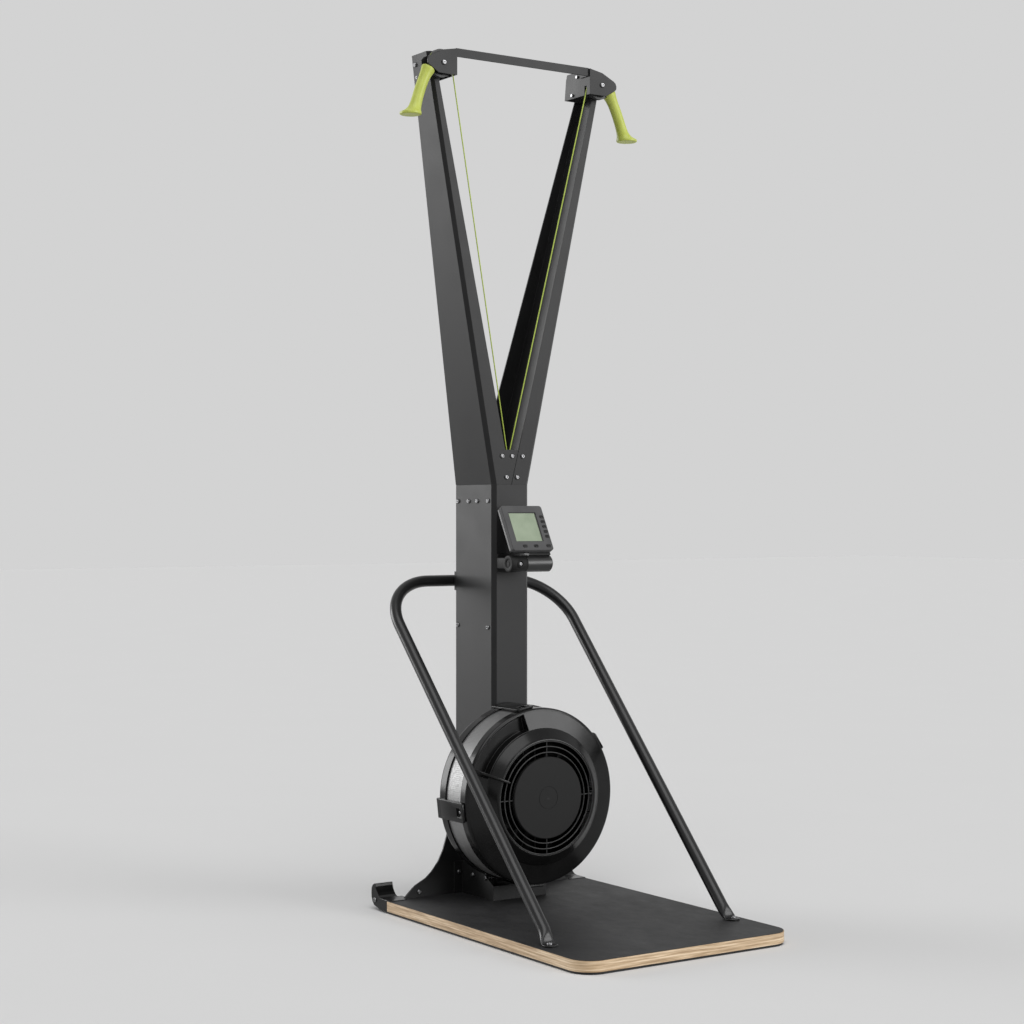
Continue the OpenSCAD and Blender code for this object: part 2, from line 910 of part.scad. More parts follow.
// Base plate on the column's back, saddle and cap round the tube
module brace_clamp() {
  r = brace_d / 2;
  color(c_steel)
  place()
  difference() {
    union() {
      box(-hw, hw, yr, yr + 7, br_z - 24, br_z + 24);
      box(-37, 37, yr + 6, br_y, br_z - 21, br_z + 21);
      box(-34, 34, br_y, clamp_back - 3, br_z - 18, br_z + 18);
      rod_x(-34, br_y, br_z, r + 3, 68, 48);
    }
    rod_x(-60, br_y, br_z, r + fit, 120, 48);
    for (s = [-1, 1])
      for (z = [-17, 17])
        rod_y(s * cl_x, yr - 1, br_z + z, 3 + fit, 20, 16);
  }
}

// Fan: x to the right, y up, z forwards from the axle's zero, angles as seen from the front
module fan_frame() {
  place()
  translate([0, 0, fan_z])
  rotate([90, 0, 0])
  children();
}

module turned(pts, f = 96) {
  rotate_extrude($fn = f)
  polygon(pts);
}

module sector(a, b, pts, f = 96) {
  rotate([0, 0, a])
  rotate_extrude(angle = b - a, $fn = f)
  polygon(pts);
}

module fan_rear_shell() {
  r = fan_r;
  h = f_back;
  color(c_plastic)
  fan_frame()
  difference() {
    turned([[22 + gap, h], [r - 18, h], [r - 4, h + 2], [r + 1, h + 6], [r + 2, h + 10],
      [r + 2, f_band], [r - 1.5, f_band], [r - 1.5, h + 11], [r - 6, h + 5.5], [r - 18, h + 3],
      [22 + gap, h + 3]]);
    for (a = [0 : 20 : 359])
      rotate([0, 0, a])
      for (i = [0, 1])
        translate([75 + i * 50, -5 - i * 3, h - 5])
        cube([38, 10 + i * 6, 12]);
  }
}

module fan_band() {
  color([0.5, 0.5, 0.51])
  fan_frame()
  turned([[fan_r - 3, f_band - 3], [fan_r - 1.5 - gap, f_band - 3], [fan_r - 1.5 - gap, f_front + 4],
    [fan_r - 3, f_front + 4]]);
}

module fan_front_shell() {
  r = fan_r;
  b = f_front;
  color(c_plastic)
  fan_frame()
  difference() {
    union() {
      turned([[r, b], [r, b + 20], [r - 0.8, b + 23], [r - 3, b + 25.5], [r - 8, b + 27],
        [ring_r + 1, 242], [ring_r - 1, 245.5], [lip_r + 6, 260.5], [lip_r + 2.5, 262.6], [lip_r, f_lip],
        [lip_r - 0.8, f_lip - 0.8], [lip_r - 0.8, f_lip - 4.5], [lip_r + 3, f_lip - 6],
        [ring_r - 4, 242.5], [ring_r - 2, 239], [r - 10, 228.7], [r - 4.5, 226], [r - 3, 224],
        [r - 3, b + 4 + gap], [r - 1.5, b + 4 + gap], [r - 1.5, b]]);
      sector(sec_a - 1, sec_b + 1, [[ring_r - 1, rec_z - 3], [r - 4, rec_z - 3], [r - 4, 225.5],
        [r - 10, 230], [ring_r - 1, 240]]);
    }
    sector(sec_a, sec_b, [[ring_r + 2, rec_z], [rec_r, rec_z], [rec_r, 260], [ring_r + 2, 260]]);
    sector(sec_a + 2, sec_b - 0.5, [[rec_r - 8, rec_z - 9], [rec_r - 0.4, rec_z - 9], [rec_r - 0.4, rec_z + 9],
      [rec_r - 8, rec_z + 9]]);
    for (a = clip_a)
      rotate([0, 0, a])
      translate([fan_r - 6, 0, b + 2])
      rotate([0, 90, 0])
      cylinder(r = 1.6 + fit, h = 20, $fn = 16);
  }
}

// Side view of the lever: [inwards from the recess's outer wall, forwards]
lever = [[-1.4, rec_z - 5], [-1.4, 226], [-4, 236], [-10, 246], [-17, 252.5], [-27, 257], [-43, 261.5],
  [-61, 266.5], [-75, 269], [-87, 269.6], [-89, 268.4], [-87, 267], [-68, 266], [-63, 264.4], [-42, 248.6],
  [-31, 243.5], [-18, 237.5], [-9, 229], [-6.4, 221], [-6.4, rec_z - 5]];

// Sliding shutter ring behind the front shell, with the lever that sets it
module damper_lever() {
  color(c_plastic)
  fan_frame() {
    difference() {
      turned([[ring_r + 8, rec_z - 6.3], [fan_r - 3.4, rec_z - 6.3], [fan_r - 3.4, rec_z - 3.3],
        [ring_r + 8, rec_z - 3.3]]);
      for (a = [190 : 20 : 500])
        rotate([0, 0, a])
        translate([ring_r + 13, -6, rec_z - 10])
        cube([20, 12, 10]);
    }
    rotate([0, 0, lever_a])
    rotate([90, 0, 0])
    translate([0, 0, -2])
    linear_extrude(height = 4)
    polygon([for (p = lever) [p[0] + rec_r, p[1]]]);
  }
}

function mid_r(k) = cap_r + k * (lip_r - cap_r);

module fan_grille() {
  color([0.3, 0.3, 0.31])
  fan_frame() {
    for (r = [mid_r(0.275), mid_r(0.62), lip_r - 2.3])
      rotate_extrude($fn = 64)
      translate([r, f_lip - 2.3])
      circle(r = 1.5, $fn = 8);
    for (a = [0, 90, 180, 270])
      rotate([0, 0, a])
      translate([cap_r - 4, 0, f_lip - 4.6])
      rotate([0, 90, 0])
      cylinder(r = 1.3, h = lip_r + 2 - cap_r, $fn = 12);
  }
}

// Middle cap with a plain shallow ring where a badge would go
module hub_cap() {
  c = f_lip;
  color([0.22, 0.22, 0.23])
  fan_frame()
  difference() {
    turned([[0, c - 1], [cap_r - 4.2, c - 1], [cap_r - 4.2, c - 8], [cap_r - 0.8, c - 8], [cap_r, c - 7],
      [cap_r, c + 1.6], [cap_r - 1.6, c + 2.6], [0, c + 3.2]]);
    translate([0, 0, c + 2.4])
    difference() {
      cylinder(r = 28, h = 5, $fn = 48);
      translate([0, 0, -1])
      cylinder(r = 26.6, h = 7, $fn = 48);
    }
    for (a = [0, 90, 180, 270])
      rotate([0, 0, a])
      translate([cap_r - 8, 0, f_lip - 4.6])
      rotate([0, 90, 0])
      cylinder(r = 1.3, h = 14, $fn = 12);
  }
}

module housing_clips() {
  r = fan_r;
  b = f_back;
  t = f_front + 19;
  strap = [[r - 16, b - 3.5], [r + 4, b - 3.5], [r + 8, b + 2], [r + 8, t - 2], [r + 6, t],
    [r + gap, t], [r + gap, f_band + gap], [r + 2 + gap, f_band + gap], [r + 2 + gap, b + 9.9],
    [r + 1 + gap, b + 5.7], [r - 3.8, b + 1.6], [r - 16, b - gap]];
  color(c_plastic)
  fan_frame()
  for (a = clip_a)
    rotate([0, 0, a])
    difference() {
      rotate([90, 0, 0])
      translate([0, 0, -27])
      linear_extrude(height = 54)
      polygon(strap);
      translate([r + 3, -11, f_front - 8])
      cube([20, 38.1, 22]);
      translate([r - 6, 0, f_front + 2])
      rotate([0, 90, 0])
      cylinder(r = 1.6 + fit, h = 30, $fn = 16);
    }
}

// Front bearing housing, flanged to the column's face, and its ball race
module bearing_block() {
  color([0.35, 0.35, 0.36])
  fan_frame() {
    turned([[15, 97], [22, 97], [22, 104], [34, 104], [34, f_back], [22, f_back], [22, 112],
      [15, 112]], 64);
    turned([[7.5 + fit, 100], [15, 100], [15, 109], [7.5 + fit, 109]], 48);
  }
}

// Rear bearing plate and the two spring cups, on one bridge across the column
module drum_bracket() {
  x = hw - ws - gap;
  l = -yf - bev - bk * ws - gap - 2.2;
  color([0.35, 0.35, 0.36])
  fan_frame()
  difference() {
    union() {
      translate([-x, -46, 2])
      cube([2 * x, 3, l]);
      translate([-40, -44, 8])
      cube([80, 84, 6]);
      translate([0, 0, 7])
      cylinder(r = 18, h = 8, $fn = 48);
      for (h = [19, 57]) {
        translate([0, 0, h])
        cylinder(r = 40, h = 17, $fn = 64);
        translate([-20, -44, h])
        cube([40, 10, 17]);
      }
      for (s = [-1, 1])
        translate([s > 0 ? x - 3 : -x, -46, 2])
        cube([3, 18, l]);
    }
    for (h = [21, 59])
      translate([0, 0, h])
      cylinder(r = 37.5, h = 30, $fn = 64);
    for (h = [16, 54])
      translate([0, 0, h])
      cylinder(r = 12.8, h = 10, $fn = 32);
    translate([0, 0, -5])
    cylinder(r = 7.5 + fit, h = 30, $fn = 32);
  }
}

// One-way drum for a rope: flanged rope groove, long hub behind it
module drum(h) {
  g = drum_r - rope_d;
  fan_frame()
  translate([0, 0, h])
  turned([[7.5 + fit, -24], [12, -24], [12, -8], [drum_r + 6, -8], [drum_r + 6, -6], [g, -5],
    [g, 5], [drum_r + 6, 6], [drum_r + 6, 8], [7.5 + fit, 8]], 64);
}

module drive_drum_left() {
  color([0.55, 0.55, 0.56])
  drum(-dr_y[0]);
}

module drive_drum_right() {
  color([0.55, 0.55, 0.56])
  drum(-dr_y[1]);
}

// Flat spiral springs that wind the ropes back
sp_n = 56;
module spiral(h) {
  f = function (i, e) let (a = 360 * 3.5 * i / sp_n, r = 12.9 + 24 * i / sp_n + e)
    [r * cos(a), r * sin(a)];
  translate([0, 0, h])
  linear_extrude(height = 11)
  polygon(concat([for (i = [0 : sp_n]) f(i, -0.4)], [for (i = [sp_n : -1 : 0]) f(i, 0.4)]));
}

module return_springs() {
  color(c_bright)
  fan_frame() {
    spiral(23);
    spiral(61);
  }
}

module fan_wheel() {
  n = blade_n;
  ro = fan_r - 18;
  color([0.2, 0.2, 0.21])
  fan_frame() {
    translate([0, 0, 5])
    cylinder(r = 7.5, h = 245, $fn = 32);
    translate([0, 0, 140])
    cylinder(r = 26, h = 68, $fn = 48);
    turned([[20, 172], [92, 172], [92, 178], [20, 178]], 64);
    for (h = [142, f_front])
      turned([[ro - 14, h], [ro, h], [ro, h + 2], [ro - 14, h + 2]], 64);
    for (i = [0 : n - 1])
      rotate([0, 0, 360 * i / n])
      translate([60, -1, 142])
      cube([ro - 61, 2, f_front + 2 - 142]);
  }
}

// Monitor: x across, y up the face, z out of the face, from the hinge's axis
module mon_frame() {
  place()
  translate([0, hg_y, hg_z])
  rotate([90 - mt, 0, 0])
  children();
}

module round_rect(x0, x1, y0, y1, r) {
  translate([x0 + r, y0])
  square([x1 - x0 - 2 * r, y1 - y0]);
  translate([x0, y0 + r])
  square([x1 - x0, y1 - y0 - 2 * r]);
  for (x = [x0 + r, x1 - r])
    for (y = [y0 + r, y1 - r])
      translate([x, y])
      circle(r = r, $fn = 32);
}

btn_side = [93.3, 79.5, 65.7, 51.9, 38.1];
btn_low = [-23, 10, 47.7];
function btn_u() = mon_w / 2 - 9;

module btn_cap(u, v, w, h, e) {
  round_rect(u - w / 2 - e, u + w / 2 + e, v - h / 2 - e, v + h / 2 + e, h / 2 + e - 0.6);
}

module all_btn(e) {
  for (v = btn_side)
    btn_cap(btn_u(), mv + v, 12, 7.4, e);
  for (u = btn_low)
    btn_cap(u, mv + 11.5, 13, 7.6, e);
}

module monitor_case() {
  m = mon_w / 2;
  t = mv + mon_h;
  color([0.2, 0.2, 0.21])
  mon_frame()
  difference() {
    union() {
      translate([0, 0, mf - mon_t / 2 + 1])
      linear_extrude(height = mon_t / 2 - 2)
      round_rect(-m, m, mv, t, 7);
      translate([0, 0, mf - 1.01])
      linear_extrude(height = 1.01)
      round_rect(-m + 1, m - 1, mv + 1, t - 1, 6);
    }
    translate([0, 0, mf - 3.9])
    linear_extrude(height = 10)
    round_rect(-45, 37.5, mv + 24, mv + 106, 1.5);
    translate([0, 0, mf - 5.5])
    linear_extrude(height = 10)
    all_btn(0.3);
  }
}

module monitor_screen() {
  color([0.66, 0.72, 0.6])
  mon_frame()
  translate([0, 0, mf - 3.9])
  linear_extrude(height = 2.1)
  round_rect(-44.8, 37.3, mv + 24.2, mv + 105.8, 1.3);
}

// Rear half of the case, its neck and the hinge barrel
module monitor_back() {
  m = mon_w / 2;
  t = mv + mon_h;
  z0 = mf - mon_t + 0.5;
  z1 = mf - mon_t / 2 + 1 - gap / 3;
  color([0.16, 0.16, 0.17])
  mon_frame() {
    translate([0, 0, z1 - 6])
    linear_extrude(height = 6)
    round_rect(-m + 0.8, m - 0.8, mv + 0.8, t - 0.8, 6);
    translate([0, 0, z0])
    linear_extrude(height = z1 - z0 - 5)
    round_rect(-m + 6, m - 6, mv + 6, t - 7, 6);
    translate([-8, 12, 4])
    cube([64, 22, z1 - 5]);
    rotate([0, 90, 0]) {
      translate([0, 0, -14.5])
      cylinder(r = hg_r, h = 73, $fn = 64);
      translate([0, 0, 58.4])
      cylinder(r1 = hg_r, r2 = hg_r - 3, h = 3.2, $fn = 64);
      translate([0, 0, -56])
      cylinder(r = 6, h = 42, $fn = 32);
    }
  }
}

module button_cap(u, v, w, h) {
  color([0.3, 0.3, 0.31])
  mon_frame() {
    translate([0, 0, mf - 4.4])
    linear_extrude(height = 5.2)
    btn_cap(u, v, w, h, 0);
    translate([0, 0, mf + 0.7])
    linear_extrude(height = 0.6)
    btn_cap(u, v, w - 1.6, h - 1.6, 0);
  }
}

module button_side(i) {
  button_cap(btn_u(), mv + btn_side[i], 12, 7.4);
}

module button_low(i) {
  button_cap(btn_low[i], mv + 11.5, 13, 7.6);
}

// Arm on the column's face with the lug that holds the monitor's hinge pin
module monitor_arm() {
  color([0.2, 0.2, 0.21])
  place()
  difference() {
    union() {
      rod_x(-62, hg_y, hg_z, hg_r, 47, 64);
      rod_y(-38, hg_y - 23, hg_z, 9.5, 20, 32);
      box(-56, -24, hg_y, yf - 3, hg_z - 14, hg_z + 14);
      box(-44, 24, yf - 3.5, yf, hg_z - 23, hg_z + 23);
    }
    rod_x(-57, hg_y, hg_z, 6 + fit, 50, 32);
    rod_y(-38, hg_y - 30, hg_z, 3 + fit, 24.5, 16);
    rod_y(-38, hg_y - 24, hg_z, 6, 4, 24);
    for (z = [-12, 12])
      rod_y(0, yf - 10, hg_z + z, 3 + fit, 20, 16);
  }
}

// Bolts of the frame: heads on the steel's outer faces
module bolt_x(x, y, z, s, r, l) {
  translate([x, y, z])
  rotate([0, s > 0 ? -90 : 90, 0])
  bolt(r, r * 1.45, r, l);
}

module frame_bolts() {
  color(c_bright)
  place() {
    for (s = [-1, 1]) {
      for (p = side_bolts)
        bolt_x(s * hw, p[0], p[1], s, 4, 8);
      for (p = foot_bolts)
        bolt_x(s * 80, p[0], p[1], s, 4, 24);
      for (p = wall_bolts)
        bolt_x(s * (wall_x + 3), p[0], pb_z + p[1], s, 4, 7);
      translate([s * 90, 1, 54])
      rotate([-90, 0, 0])
      bolt(4, 5.8, 4, 8);
      translate([s * 207, 4, 14])
      rotate([-90, 0, 0])
      bolt(4, 5.8, 4, 8);
      translate([s * (brace_half - 2), foot_y - 19, 5])
      rotate([180, 0, 0])
      bolt(4, 6.5, 4.5, 4.9);
      for (z = [-17, 17])
        translate([s * cl_x, yr + 7, br_z + z])
        rotate([90, 0, 0])
        bolt(3, 5, 3.4, 11);
    }
    for (m = [0, 1])
      mirror([m, 0, 0])
      for (z = web_bolts)
        on_web(-67, z)
        bolt(4, 5.8, 4, 8);
    for (p = front_bolts)
      translate([p[0], a_yf(p[1]) - 0.16, p[1]])
      rotate([-90, 0, 0])
      bolt(4, 5.8, 4, 7);
    for (z = [-12, 12])
      translate([0, yf - 3.5, hg_z + z])
      rotate([-90, 0, 0])
      bolt(3, 5, 3, 8);
  }
}

module small_screws() {
  color(c_bright) {
    fan_frame()
    for (a = clip_a)
      rotate([0, 0, a])
      translate([fan_r + 3, 0, f_front + 2])
      rotate([0, -90, 0])
      bolt(1.6, 3.6, 2, 4.2);
    place() {
      translate([-38, hg_y - 20, hg_z])
      rotate([-90, 0, 0])
      bolt(3, 5, 3, 12);
      for (s = [-1, 1])
        for (z = back_z)
          translate([s * (hw - 8), yr, z])
          rotate([90, 0, 0])
          bolt(2.5, 4.4, 2.6, 5);
    }
  }
}

// Buttons
module button_side_1() {
  button_side(0);
}

module button_side_2() {
  button_side(1);
}

module button_side_3() {
  button_side(2);
}

module button_side_4() {
  button_side(3);
}

module button_side_5() {
  button_side(4);
}

module button_low_1() {
  button_low(0);
}

module button_low_2() {
  button_low(1);
}

module button_low_3() {
  button_low(2);
}

deck_board();
deck_laminate();
deck_underlay();
foot_bracket();
column_foot();
rear_gusset();
wheel_shoe_left();
wheel_shoe_right();
column();
column_back();
arm_left();
arm_right();
splice_sleeve();
crossbar();
pulley_bracket_left();
pulley_bracket_right();
pulley_pins();
rope_left();
rope_right();
rope_leader_left();
rope_leader_right();
brace_left();
brace_right();
brace_clamp();
fan_rear_shell();
fan_band();
fan_front_shell();
fan_grille();
hub_cap();
housing_clips();
bearing_block();
drum_bracket();
return_springs();
frame_bolts();
small_screws();
wheel_axles();
monitor_arm();
monitor_case();
monitor_back();
monitor_screen();
button_side_1();
button_side_2();
button_side_3();
button_side_4();
button_side_5();
button_low_1();
button_low_2();
button_low_3();
handle_left();
handle_right();
top_pulley_left();
top_pulley_right();
guide_pulley_left();
guide_pulley_right();
drive_drum_left();
drive_drum_right();
fan_wheel();
damper_lever();
transport_wheel_left();
transport_wheel_right();
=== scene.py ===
"""Looks of the standing ski trainer: finishes, a few modelled pieces, the studio and the camera."""

import json
import math

import bmesh
import bpy
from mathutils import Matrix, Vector


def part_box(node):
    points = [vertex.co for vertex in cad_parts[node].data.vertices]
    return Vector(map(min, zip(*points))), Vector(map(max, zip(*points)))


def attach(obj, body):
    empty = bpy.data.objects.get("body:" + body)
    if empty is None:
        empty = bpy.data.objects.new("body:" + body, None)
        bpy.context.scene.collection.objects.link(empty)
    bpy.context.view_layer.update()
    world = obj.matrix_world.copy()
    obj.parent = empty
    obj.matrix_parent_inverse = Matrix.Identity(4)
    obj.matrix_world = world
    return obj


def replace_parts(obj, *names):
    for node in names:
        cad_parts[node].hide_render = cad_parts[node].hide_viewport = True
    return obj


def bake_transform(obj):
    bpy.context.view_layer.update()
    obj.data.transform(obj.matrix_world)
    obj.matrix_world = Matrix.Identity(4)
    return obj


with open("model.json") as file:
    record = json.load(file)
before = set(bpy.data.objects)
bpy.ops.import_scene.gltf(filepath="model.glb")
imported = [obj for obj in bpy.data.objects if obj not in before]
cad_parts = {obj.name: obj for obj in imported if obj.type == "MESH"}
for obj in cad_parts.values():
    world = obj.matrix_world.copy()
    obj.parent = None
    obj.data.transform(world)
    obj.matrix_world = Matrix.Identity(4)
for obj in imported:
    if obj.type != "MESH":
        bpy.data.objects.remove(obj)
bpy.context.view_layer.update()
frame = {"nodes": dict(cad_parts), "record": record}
nodes = frame["nodes"]
slot_of = {part["node"]: part["material_slot"] for part in frame["record"]["subparts"]}

MM = 0.001


# Materials

EDGE_FLAT = 0.995  # the edge mask is 0 where the softened normal's cosine with the flat one is this
EDGE_SHARP = 0.86  # and 1 where it is this


class Look:
    """One procedural material: a principled shader and short calls for the nodes that feed it."""

    def __init__(self, name, roughness, metallic=0.0, **fixed):
        self.material = bpy.data.materials.new(name)
        self.material.use_nodes = True
        self.tree = self.material.node_tree
        self.shader = self.tree.nodes["Principled BSDF"]
        self.shader.inputs["Roughness"].default_value = roughness
        self.shader.inputs["Metallic"].default_value = metallic
        for key, value in fixed.items():
            self.shader.inputs[key.replace("_", " ")].default_value = value
        self.place = self.add("ShaderNodeTexCoord").outputs["Object"]
        self.soft = None

    def add(self, kind, **props):
        node = self.tree.nodes.new(kind)
        for key, value in props.items():
            setattr(node, key, value)
        return node

    def link(self, source, target):
        self.tree.links.new(source, target)

    def stretch(self, x, y, z):
        """The piece's own coordinates, scaled: a pattern gets longer along an axis with a small scale."""
        node = self.add("ShaderNodeMapping")
        node.inputs["Scale"].default_value = (x, y, z)
        self.link(self.place, node.inputs["Vector"])
        return node.outputs["Vector"]

    def noise(self, size, detail=3.0, vector=None, rough=0.5):
        """Noise whose blobs are about size metres across."""
        node = self.add("ShaderNodeTexNoise")
        node.inputs["Scale"].default_value = 1 / size
        node.inputs["Detail"].default_value = detail
        node.inputs["Roughness"].default_value = rough
        self.link(vector or self.place, node.inputs["Vector"])
        return node.outputs["Fac"]

    def cells(self, size, vector=None):
        """Cells about size metres across; the value grows from each cell's middle."""
        node = self.add("ShaderNodeTexVoronoi")
        node.inputs["Scale"].default_value = 1 / size
        self.link(vector or self.place, node.inputs["Vector"])
        return node.outputs["Distance"]

    def span(self, value, low, high, new_low, new_high):
        """The stretch from low to high mapped on new_low to new_high, and held at its ends."""
        node = self.add("ShaderNodeMapRange")
        limits = {"From Min": low, "From Max": high, "To Min": new_low, "To Max": new_high}
        for key, number in limits.items():
            node.inputs[key].default_value = number
        self.link(value, node.inputs["Value"])
        return node.outputs["Result"]

    def math(self, operation, a, b=None):
        node = self.add("ShaderNodeMath", operation=operation)
        for socket, value in zip(node.inputs, (a, b)):
            if value is None:
                continue
            if isinstance(value, (int, float)):
                socket.default_value = value
            else:
                self.link(value, socket)
        return node.outputs[0]

    def ramp(self, value, *stops):
        """Colours between stops, each a position and a colour."""
        node = self.add("ShaderNodeValToRGB")
        ramp = node.color_ramp
        while len(ramp.elements) < len(stops):
            ramp.elements.new(0.5)
        for element, (at, colour) in zip(ramp.elements, stops):
            element.position = at
            element.color = (*colour, 1)
        self.link(value, node.inputs["Fac"])
        return node.outputs["Color"]

    def blend(self, factor, a, b):
        """Colour a where factor is 0 and b where it is 1; a and b are sockets or colours."""
        node = self.add("ShaderNodeMix", data_type="RGBA")
        self.link(factor, node.inputs[0])
        for socket, value in ((node.inputs[6], a), (node.inputs[7], b)):
            if isinstance(value, tuple):
                socket.default_value = (*value, 1)
            else:
                self.link(value, socket)
        return node.outputs[2]

    def rounded(self, radius):
        """Softens the edges for every later bump, and gives a mask that is 1 on them."""
        bevel = self.add("ShaderNodeBevel", samples=6)
        bevel.inputs["Radius"].default_value = radius
        flat = self.add("ShaderNodeNewGeometry").outputs["Normal"]
        dot = self.add("ShaderNodeVectorMath", operation="DOT_PRODUCT")
        self.link(bevel.outputs["Normal"], dot.inputs[0])
        self.link(flat, dot.inputs[1])
        self.soft = bevel.outputs["Normal"]
        return self.span(dot.outputs["Value"], EDGE_FLAT, EDGE_SHARP, 0.0, 1.0)

    def bump(self, height, strength, distance):
        node = self.add("ShaderNodeBump")
        node.inputs["Strength"].default_value = strength
        node.inputs["Distance"].default_value = distance
        self.link(height, node.inputs["Height"])
        if self.soft:
            self.link(self.soft, node.inputs["Normal"])
        return node.outputs["Normal"]

    def use(self, **inputs):
        for key, socket in inputs.items():
            self.link(socket, self.shader.inputs[key.replace("_", " ")])
        return self.material


def powder_coat(name, dark, light, edge_colour, rough, shine=0.21):
    """Powder coat: slightly cloudy, with a fine orange peel, and lighter on patches of its edges."""
    look = Look(name, rough, Specular_IOR_Level=shine)
    edge = look.rounded(1.0 * MM)
    cloud = look.noise(90 * MM, 4)
    grain = look.noise(1.1 * MM, 2)
    mottle = look.math("ADD", look.math("MULTIPLY", cloud, 0.6), look.math("MULTIPLY", grain, 0.4))
    tone = look.ramp(mottle, (0.35, dark), (0.65, light))
    wear = look.math("MULTIPLY", edge, look.span(look.noise(14 * MM, 5), 0.42, 0.62, 0.25, 1.0))
    uneven = look.math("ADD", cloud, look.math("MULTIPLY", grain, 0.5))
    return look.use(
        Base_Color=look.blend(look.math("MULTIPLY", wear, 0.5), tone, edge_colour),
        Roughness=look.span(uneven, 0.5, 1.0, rough - 0.03, rough + 0.05),
        Normal=look.bump(grain, 0.35, 0.12 * MM),
    )


def moulded(name, dark, light, rough, grain=0.25, edge_colour=None, shine=0.5, edge_size=0.7 * MM):
    """Moulded plastic: fine spark-eroded grain, slight cloudiness, softened edges, and lighter edges in
    edge_colour that are partly wear and partly a painted highlight.
    """
    look = Look(name, rough, Specular_IOR_Level=shine)
    edge = look.rounded(edge_size)
    cloud = look.noise(60 * MM, 3)
    fine = look.noise(0.9 * MM, 2)
    tone = look.ramp(cloud, (0.35, dark), (0.7, light))
    if edge_colour:
        # Lighter edges: partly rubbed wear, partly a painted highlight along the edges
        tone = look.blend(look.math("MULTIPLY", edge, 0.45), tone, edge_colour)
    return look.use(
        Base_Color=tone,
        Roughness=look.span(look.math("ADD", cloud, fine), 0.7, 1.3, rough - 0.05, rough + 0.07),
        Normal=look.bump(fine, grain, 0.1 * MM),
    )


PLIES = 9
PLY_WOBBLE = 1.6 * MM
PALE_VENEER = ((0.36, (0.31, 0.205, 0.11)), (0.5, (0.54, 0.395, 0.245)), (0.64, (0.75, 0.60, 0.42)))
DARK_VENEER = ((0.35, (0.30, 0.19, 0.10)), (0.65, (0.50, 0.355, 0.21)))
GLUE = (0.24, 0.15, 0.08)


def plywood():
    """Pale and dark plies by height, with glue lines and streaks that run level along the edge."""
    look = Look("plywood", 0.5)
    look.rounded(1.2 * MM)
    low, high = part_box("deck_board")
    split = look.add("ShaderNodeSeparateXYZ")
    look.link(look.place, split.inputs[0])
    wave = look.math("SUBTRACT", look.noise(120 * MM, 2), 0.5)
    wobble = look.math("MULTIPLY", wave, PLY_WOBBLE)
    depth = look.math("SUBTRACT", look.math("ADD", split.outputs["Z"], wobble), low.z)
    ply = look.math("DIVIDE", depth, (high.z - low.z) / PLIES)
    from_middle = look.math("ABSOLUTE", look.math("SUBTRACT", look.math("PINGPONG", ply, 1.0), 0.5))
    line = look.span(from_middle, 0.36, 0.5, 0.0, 1.0)
    nearest = look.math("FLOOR", look.math("ADD", ply, 0.5))
    which = look.span(look.math("MODULO", nearest, 2.0), 0.0, 1.0, 0.0, 1.0)
    streak = look.noise(6 * MM, 3, look.stretch(0.05, 0.05, 1.3), 0.6)
    pale = look.ramp(streak, *PALE_VENEER)
    dark = look.ramp(look.noise(3 * MM, 3, look.stretch(0.12, 0.12, 1.5)), *DARK_VENEER)
    tone = look.blend(look.math("MULTIPLY", which, 0.5), pale, dark)
    return look.use(
        Base_Color=look.blend(look.math("MULTIPLY", line, 0.28), tone, GLUE),
        Normal=look.bump(streak, 0.25, 0.15 * MM),
        Roughness=look.span(streak, 0.3, 0.8, 0.42, 0.62),
    )


def laminate():
    """Phenolic film with a fine non-slip print and faint scuffs."""
    look = Look("laminate", 0.55, Specular_IOR_Level=0.3)
    look.rounded(0.5 * MM)
    mesh = look.cells(1.6 * MM)
    fine = look.noise(0.8 * MM, 2)
    scuff = look.noise(60 * MM, 6, look.stretch(1.0, 0.6, 1.0), 0.7)
    relief = look.math("ADD", mesh, look.math("MULTIPLY", fine, 0.4))
    return look.use(
        Base_Color=look.ramp(scuff, (0.3, (0.009, 0.009, 0.0095)), (0.7, (0.016, 0.016, 0.0165))),
        Roughness=look.span(scuff, 0.3, 0.75, 0.48, 0.66),
        Normal=look.bump(relief, 0.3, 0.15 * MM),
    )


def rubbery(name, dark, light, rough, grain_size=1.2 * MM, shine=0.5):
    """Rubber or a soft grip: a cloudy tone over a fine matt grain."""
    look = Look(name, rough, Specular_IOR_Level=shine)
    look.rounded(0.9 * MM)
    fine = look.noise(grain_size, 3)
    cloud = look.noise(35 * MM, 4)
    return look.use(
        Base_Color=look.ramp(cloud, (0.35, dark), (0.68, light)),
        Roughness=look.span(cloud, 0.35, 0.7, rough - 0.06, rough + 0.08),
        Normal=look.bump(fine, 0.3, 0.12 * MM),
    )


def braided(name, pale, deep):
    """Braided cord: long cells for its strands, with fine fibres over them."""
    look = Look(name, 0.55)
    strand = look.cells(1.1 * MM, look.stretch(1.0, 1.0, 0.45))
    fibre = look.noise(0.4 * MM, 2, look.stretch(1.0, 1.0, 0.3))
    return look.use(
        Base_Color=look.ramp(strand, (0.1, pale), (0.75, deep)),
        Roughness=look.span(fibre, 0.3, 0.7, 0.5, 0.7),
        Normal=look.bump(look.math("SUBTRACT", fibre, strand), 0.6, 0.25 * MM),
    )


def brushed(name, dark, light, rough, metallic=1.0):
    """Bare metal: fine lines along its height, small blots and lighter edges."""
    look = Look(name, rough, metallic)
    edge = look.rounded(0.35 * MM)
    line = look.noise(0.7 * MM, 3, look.stretch(1.0, 1.0, 0.2))
    blot = look.noise(7 * MM, 3)
    tone = look.ramp(line, (0.3, dark), (0.7, light))
    return look.use(
        Base_Color=look.blend(look.math("MULTIPLY", edge, 0.4), tone, light),
        Roughness=look.span(look.math("ADD", line, blot), 0.6, 1.4, rough - 0.08, rough + 0.12),
        Normal=look.bump(line, 0.15, 0.05 * MM),
    )


